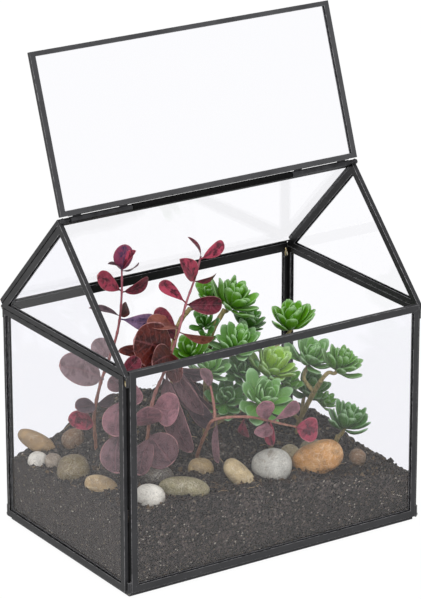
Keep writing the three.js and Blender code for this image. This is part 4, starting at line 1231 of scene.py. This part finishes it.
IMAGE_WIDE, IMAGE_HIGH = 421, 599  # of the photograph, in pixels
OPTICAL_MIDDLE = (227.9, 298.4)  # where the lens points, in the same pixels
SENSOR = 36.0
LENS = 206.8
CAMERA_PLACE = [-1273.3, -1942.0, 1011.0]
CAMERA_AZIMUTH = 33.54
CAMERA_ELEVATION = 19.86
SKY_LIGHT = 0.74  # of the backdrop on the object, where the camera sees it at 1
LAMP_LIGHT = 1.9
LAMP_SPREAD, LAMP_TILT, LAMP_TURN = 45, 46, -38  # in degrees
FLOOR_WIDE = 30_000
FLOOR_DROP = 0.2
FLOOR_GLOW = 0.95
FLOOR_GREY = (0.06, 0.06, 0.06, 1)
WHITE = (1, 1, 1, 1)


def add_camera():
    """A long lens, with the shift that frames the case as the photograph does."""
    camera = bpy.data.objects.new("camera", bpy.data.cameras.new("camera"))
    bpy.context.scene.collection.objects.link(camera)
    camera.location = placed(CAMERA_PLACE)
    camera.rotation_euler = (math.radians(90 - CAMERA_ELEVATION), 0, math.radians(-CAMERA_AZIMUTH))
    camera.data.sensor_width = SENSOR
    camera.data.lens = LENS
    camera.data.clip_start, camera.data.clip_end = 0.1, 60
    camera.data.shift_x = (IMAGE_WIDE / 2 - OPTICAL_MIDDLE[0]) / IMAGE_HIGH
    camera.data.shift_y = (OPTICAL_MIDDLE[1] - IMAGE_HIGH / 2) / IMAGE_HIGH
    bpy.context.scene.camera = camera


def add_floor():
    """A wide white floor that glows, so that it stays as pale as the sky beyond it."""
    f = Finish("studio_floor")
    glow = {"Emission_Color": WHITE, "Emission_Strength": FLOOR_GLOW}
    f.surface(FLOOR_GREY, 0.9, Specular_IOR_Level=0.0, **glow)
    bpy.ops.mesh.primitive_plane_add(size=FLOOR_WIDE * MM, location=(0, 0, -FLOOR_DROP * MM))
    floor = bpy.context.object
    floor.name = "studio_floor"
    floor.data.materials.append(f.material)


def add_light():
    """A white backdrop, softer light from all round it, and one wide lamp high at the left."""
    world = bpy.data.worlds.new("studio")
    world.use_nodes = True
    bpy.context.scene.world = world
    nodes, links = world.node_tree.nodes, world.node_tree.links
    background = nodes["Background"]
    background.inputs["Color"].default_value = WHITE
    seen = nodes.new("ShaderNodeLightPath").outputs["Is Camera Ray"]
    strength = nodes.new("ShaderNodeMapRange")
    strength.inputs["To Min"].default_value = SKY_LIGHT
    strength.inputs["To Max"].default_value = 1.0
    links.new(seen, strength.inputs["Value"])
    links.new(strength.outputs["Result"], background.inputs["Strength"])
    lamp = bpy.data.objects.new("soft_lamp", bpy.data.lights.new("soft_lamp", "SUN"))
    lamp.data.energy = LAMP_LIGHT
    lamp.data.angle = math.radians(LAMP_SPREAD)
    lamp.rotation_euler = (math.radians(LAMP_TILT), 0, math.radians(LAMP_TURN))
    bpy.context.scene.collection.objects.link(lamp)


def set_tone():
    """Plain colour, and enough passes of light for all the panes that lie one behind another."""
    view = bpy.context.scene.view_settings
    view.view_transform = "Standard"
    view.look = "None"
    view.exposure = 0
    view.gamma = 1
    bpy.context.scene.cycles.transparent_max_bounces = 24


add_camera()
add_light()
add_floor()
set_tone()
dress_case()
add_soil()
add_pebbles()
add_burgundy_plant()
add_green_plant()
add_solder()
add_seams()
